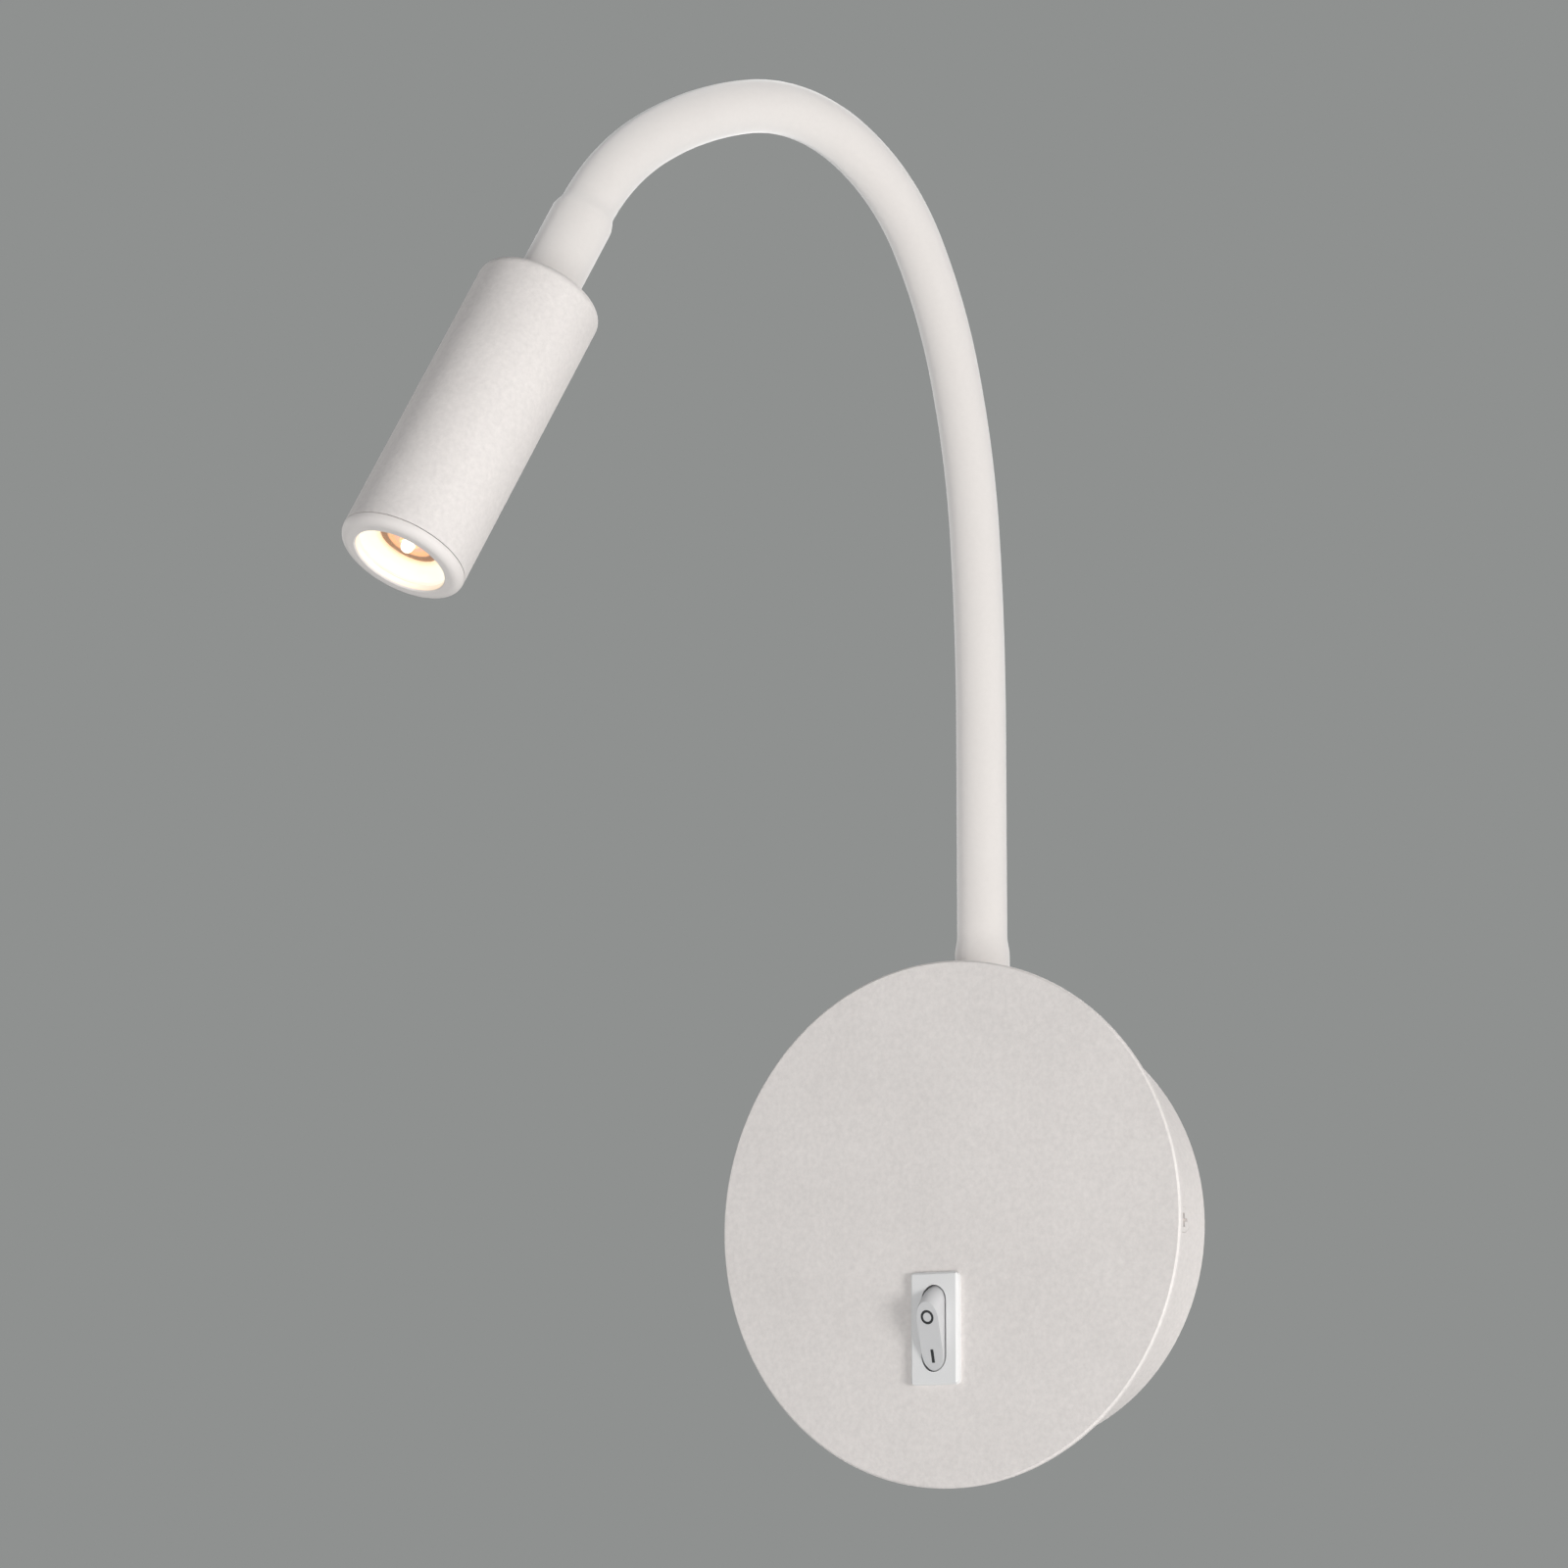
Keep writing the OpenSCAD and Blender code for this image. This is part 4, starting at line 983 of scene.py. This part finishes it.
def rounded_outline(width, height, corner, steps=8):
    """A rectangle with round corners, anticlockwise, in millimetres."""
    points = []
    for quarter, (sx, sy) in enumerate(((1, 1), (-1, 1), (-1, -1), (1, -1))):
        middle_x = sx * (width / 2 - corner)
        middle_y = sy * (height / 2 - corner)
        for i in range(steps + 1):
            a = math.pi / 2 * (quarter + i / steps)
            points.append((middle_x + corner * math.cos(a), middle_y + corner * math.sin(a)))
    return points


print("helpers for turning and stacking ready")

# %% [markdown]
# ## The marks on the rocker
# The rocker carries the usual pair of marks, a ring for off and a bar for on, in thin dark ink. Ink has
# almost no height, so the ring is turned and the bar stacked as flat pieces that stand 0.02 mm proud of the
# rocker's face, and they tip with the rocker.

# %% Rocker marks
ROCKER_PIVOT = Vector((-2.6, -27.2, -23.9)) * MM
ROCKER_TILT = math.radians(15.7)
FACE_IN = 7.0
INK_TOP = 0.02
INK_ROOT = -0.05
RING_RISE = 4.4
RING_IN = 1.05
RING_OUT = 1.65
BAR_RISE = -4.6
BAR_SIZE = (0.76, 3.1)
BAR_CORNER = 0.12
rocker_frame = Matrix.Translation(ROCKER_PIVOT) @ Matrix.Rotation(ROCKER_TILT, 4, "X")
face_out = Matrix.Rotation(math.pi / 2, 4, "X")


def on_face(rise):
    """A place on the rocker's face, with Z out of it and Y up it."""
    return rocker_frame @ Matrix.Translation(Vector((0, -FACE_IN, rise)) * MM) @ face_out


ring_section = [(RING_IN, INK_ROOT), (RING_OUT, INK_ROOT), (RING_OUT, INK_TOP), (RING_IN, INK_TOP)]
off_mark = turned("off_mark", ring_section, on_face(RING_RISE), "mark_ink")
bar_outline = rounded_outline(*BAR_SIZE, BAR_CORNER)
bar_layers = [(bar_outline, INK_ROOT), (bar_outline, INK_TOP)]
on_mark = stacked("on_mark", bar_layers, on_face(BAR_RISE), "mark_ink")
for mark in (off_mark, on_mark):
    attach(mark, "rocker")
print("marks on the rocker")

# %% [markdown]
# ## The washer and the driver
# The earth screw clamps its wire under a brass washer. The driver is a two-part plastic case: a tray and
# a lid that meet in a fine groove. Both are small and closed, so they are turned and stacked by hand.

# %% Earth washer and driver case
# Radius and height, in millimetres
WASHER_SECTION = [(2.02, 0), (4.4, 0), (4.5, 0.1), (4.5, 0.9), (4.4, 1.0), (2.02, 1.0)]
washer_place = Matrix.Translation(Vector((EARTH_X, -2, EARTH_Z)) * MM) @ face_out
washer = turned("earth_washer", WASHER_SECTION, washer_place, "brass")
dress(washer, "base", "brass", "earth_screw")

DRIVER_W = 46
DRIVER_H = 17
DRIVER_CORNER = 2.0
DRIVER_FRONT = Vector((0, -29.5, 21.5)) * MM
# How far the outline is drawn in, and its height above the front, in millimetres
DRIVER_LAYERS = [
    (0.9, 0), (0.25, 0.25), (0, 0.9), (0, 8.2), (0.35, 8.25), (0.35, 8.65), (0, 8.7), (0, 11.1),
    (0.25, 11.75), (0.9, 12),
]
driver_layers = [
    (rounded_outline(DRIVER_W - 2 * inset, DRIVER_H - 2 * inset, DRIVER_CORNER), height)
    for inset, height in DRIVER_LAYERS
]
driver_place = Matrix.Translation(DRIVER_FRONT) @ Matrix.Rotation(-math.pi / 2, 4, "X")
driver = stacked("driver_shell", driver_layers, driver_place, "driver_plastic")
dress(driver, "base", "driver_plastic", "driver_case")
print("washer and driver made")

# %% [markdown]
# ## Floor, light and background
# The light is lit like a product on a grey sweep: a key lamp from the right, a broad lamp from the front and
# below, a weak one along the drum's edge, two on the far sides for other views, and an even sky. The
# background is only for the camera, and for what mirrors or bends it, so it adds no light. The pale floor
# lies well below, shows in other views, and is lifted in the same way.

# %% Floor
FLOOR_LIFT = 0.45
FLOOR_TONE = tone(204, 206, 206)
FLOOR_Z = -1.15
FLOOR_HALF = 3.0


def seen_rays(tree):
    """1 for rays from the camera, and for those that were mirrored or bent on the way."""
    ray = add(tree, "ShaderNodeLightPath")
    seen = ray.outputs["Is Camera Ray"]
    for kind in ("Is Glossy Ray", "Is Transmission Ray"):
        seen = maths(tree, "MAXIMUM", seen, ray.outputs[kind])
    return seen


floor_mesh = bpy.data.meshes.new("floor")
floor_corners = [
    (x * FLOOR_HALF, y * FLOOR_HALF, FLOOR_Z) for x, y in ((-1, -1), (1, -1), (1, 1), (-1, 1))
]
floor_mesh.from_pydata(floor_corners, [], [(0, 1, 2, 3)])
floor = bpy.data.objects.new("floor", floor_mesh)
collection.objects.link(floor)
floor_paint = surface("floor_paint", grain_group, {
    "Tone": FLOOR_TONE, "Grain": 60, "Mottle": 0.02, "Gloss": 0.8,
}, 0.01 * MM, Emission_Color=FLOOR_TONE)
tree = floor_paint.node_tree
lift = maths(tree, "MULTIPLY", seen_rays(tree), FLOOR_LIFT)
tree.links.new(lift, tree.nodes[PRINCIPLED].inputs["Emission Strength"])
floor_mesh.materials.append(floor_paint)
floor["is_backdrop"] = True
print("floor at", FLOOR_Z)

# %% Lamps and sky
AIM = Vector((-0.02, -0.06, 0.1))
# Place and width in metres, power in watts, colour
LAMPS = {
    "key": ((1.44, -0.68, -0.12), 0.4, 16.8, (1.0, 0.985, 0.97)),
    "front": ((0.36, -1.58, -0.5), 1.0, 10.1, (1.0, 0.99, 0.98)),
    "edge": ((1.25, 0.83, 0.2), 0.9, 2.0, (1.0, 0.99, 0.98)),
    "back": ((-0.44, 1.52, 0.86), 1.0, 10.0, (1.0, 0.99, 0.98)),
    "left": ((-1.6, 0.1, 0.3), 1.0, 6.0, (1.0, 0.99, 0.98)),
}
for name, (spot, width, power, hue) in LAMPS.items():
    lamp_data = bpy.data.lights.new(name, "AREA")
    lamp_data.size = width
    lamp_data.energy = power
    lamp_data.color = hue
    lamp = bpy.data.objects.new(name, lamp_data)
    lamp.location = spot
    lamp.rotation_mode = "QUATERNION"
    lamp.rotation_quaternion = (AIM - Vector(spot)).to_track_quat("-Z", "Y")
    collection.objects.link(lamp)

BACKDROP = tone(143, 145, 144)
SKY = tone(225, 227, 230)
SKY_STRENGTH = 0.345
world = bpy.data.worlds.new("studio")
bpy.context.scene.world = world
world.use_nodes = True
tree = world.node_tree
tree.nodes.clear()
sky = add(tree, "ShaderNodeBackground", {"Color": SKY, "Strength": SKY_STRENGTH})
backdrop = add(tree, "ShaderNodeBackground", {"Color": BACKDROP, "Strength": 1.0})
mixed = add(tree, "ShaderNodeMixShader", {
    0: seen_rays(tree), 1: sky.outputs["Background"], 2: backdrop.outputs["Background"],
})
add(tree, "ShaderNodeOutputWorld", {"Surface": mixed.outputs["Shader"]})
print("lamps:", len(LAMPS))

# %% [markdown]
# ## Sizes
# The box of the solids and the box of the dressed light are both kept in a table, and the dressed light's box
# is printed.

# %% Sizes
low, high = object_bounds()
sizes = {
    "cad": [list(cad_low), list(cad_high)],
    "visual": [list(low), list(high)],
}
print("visual box:", [round(v, 4) for v in (*low, *high)])
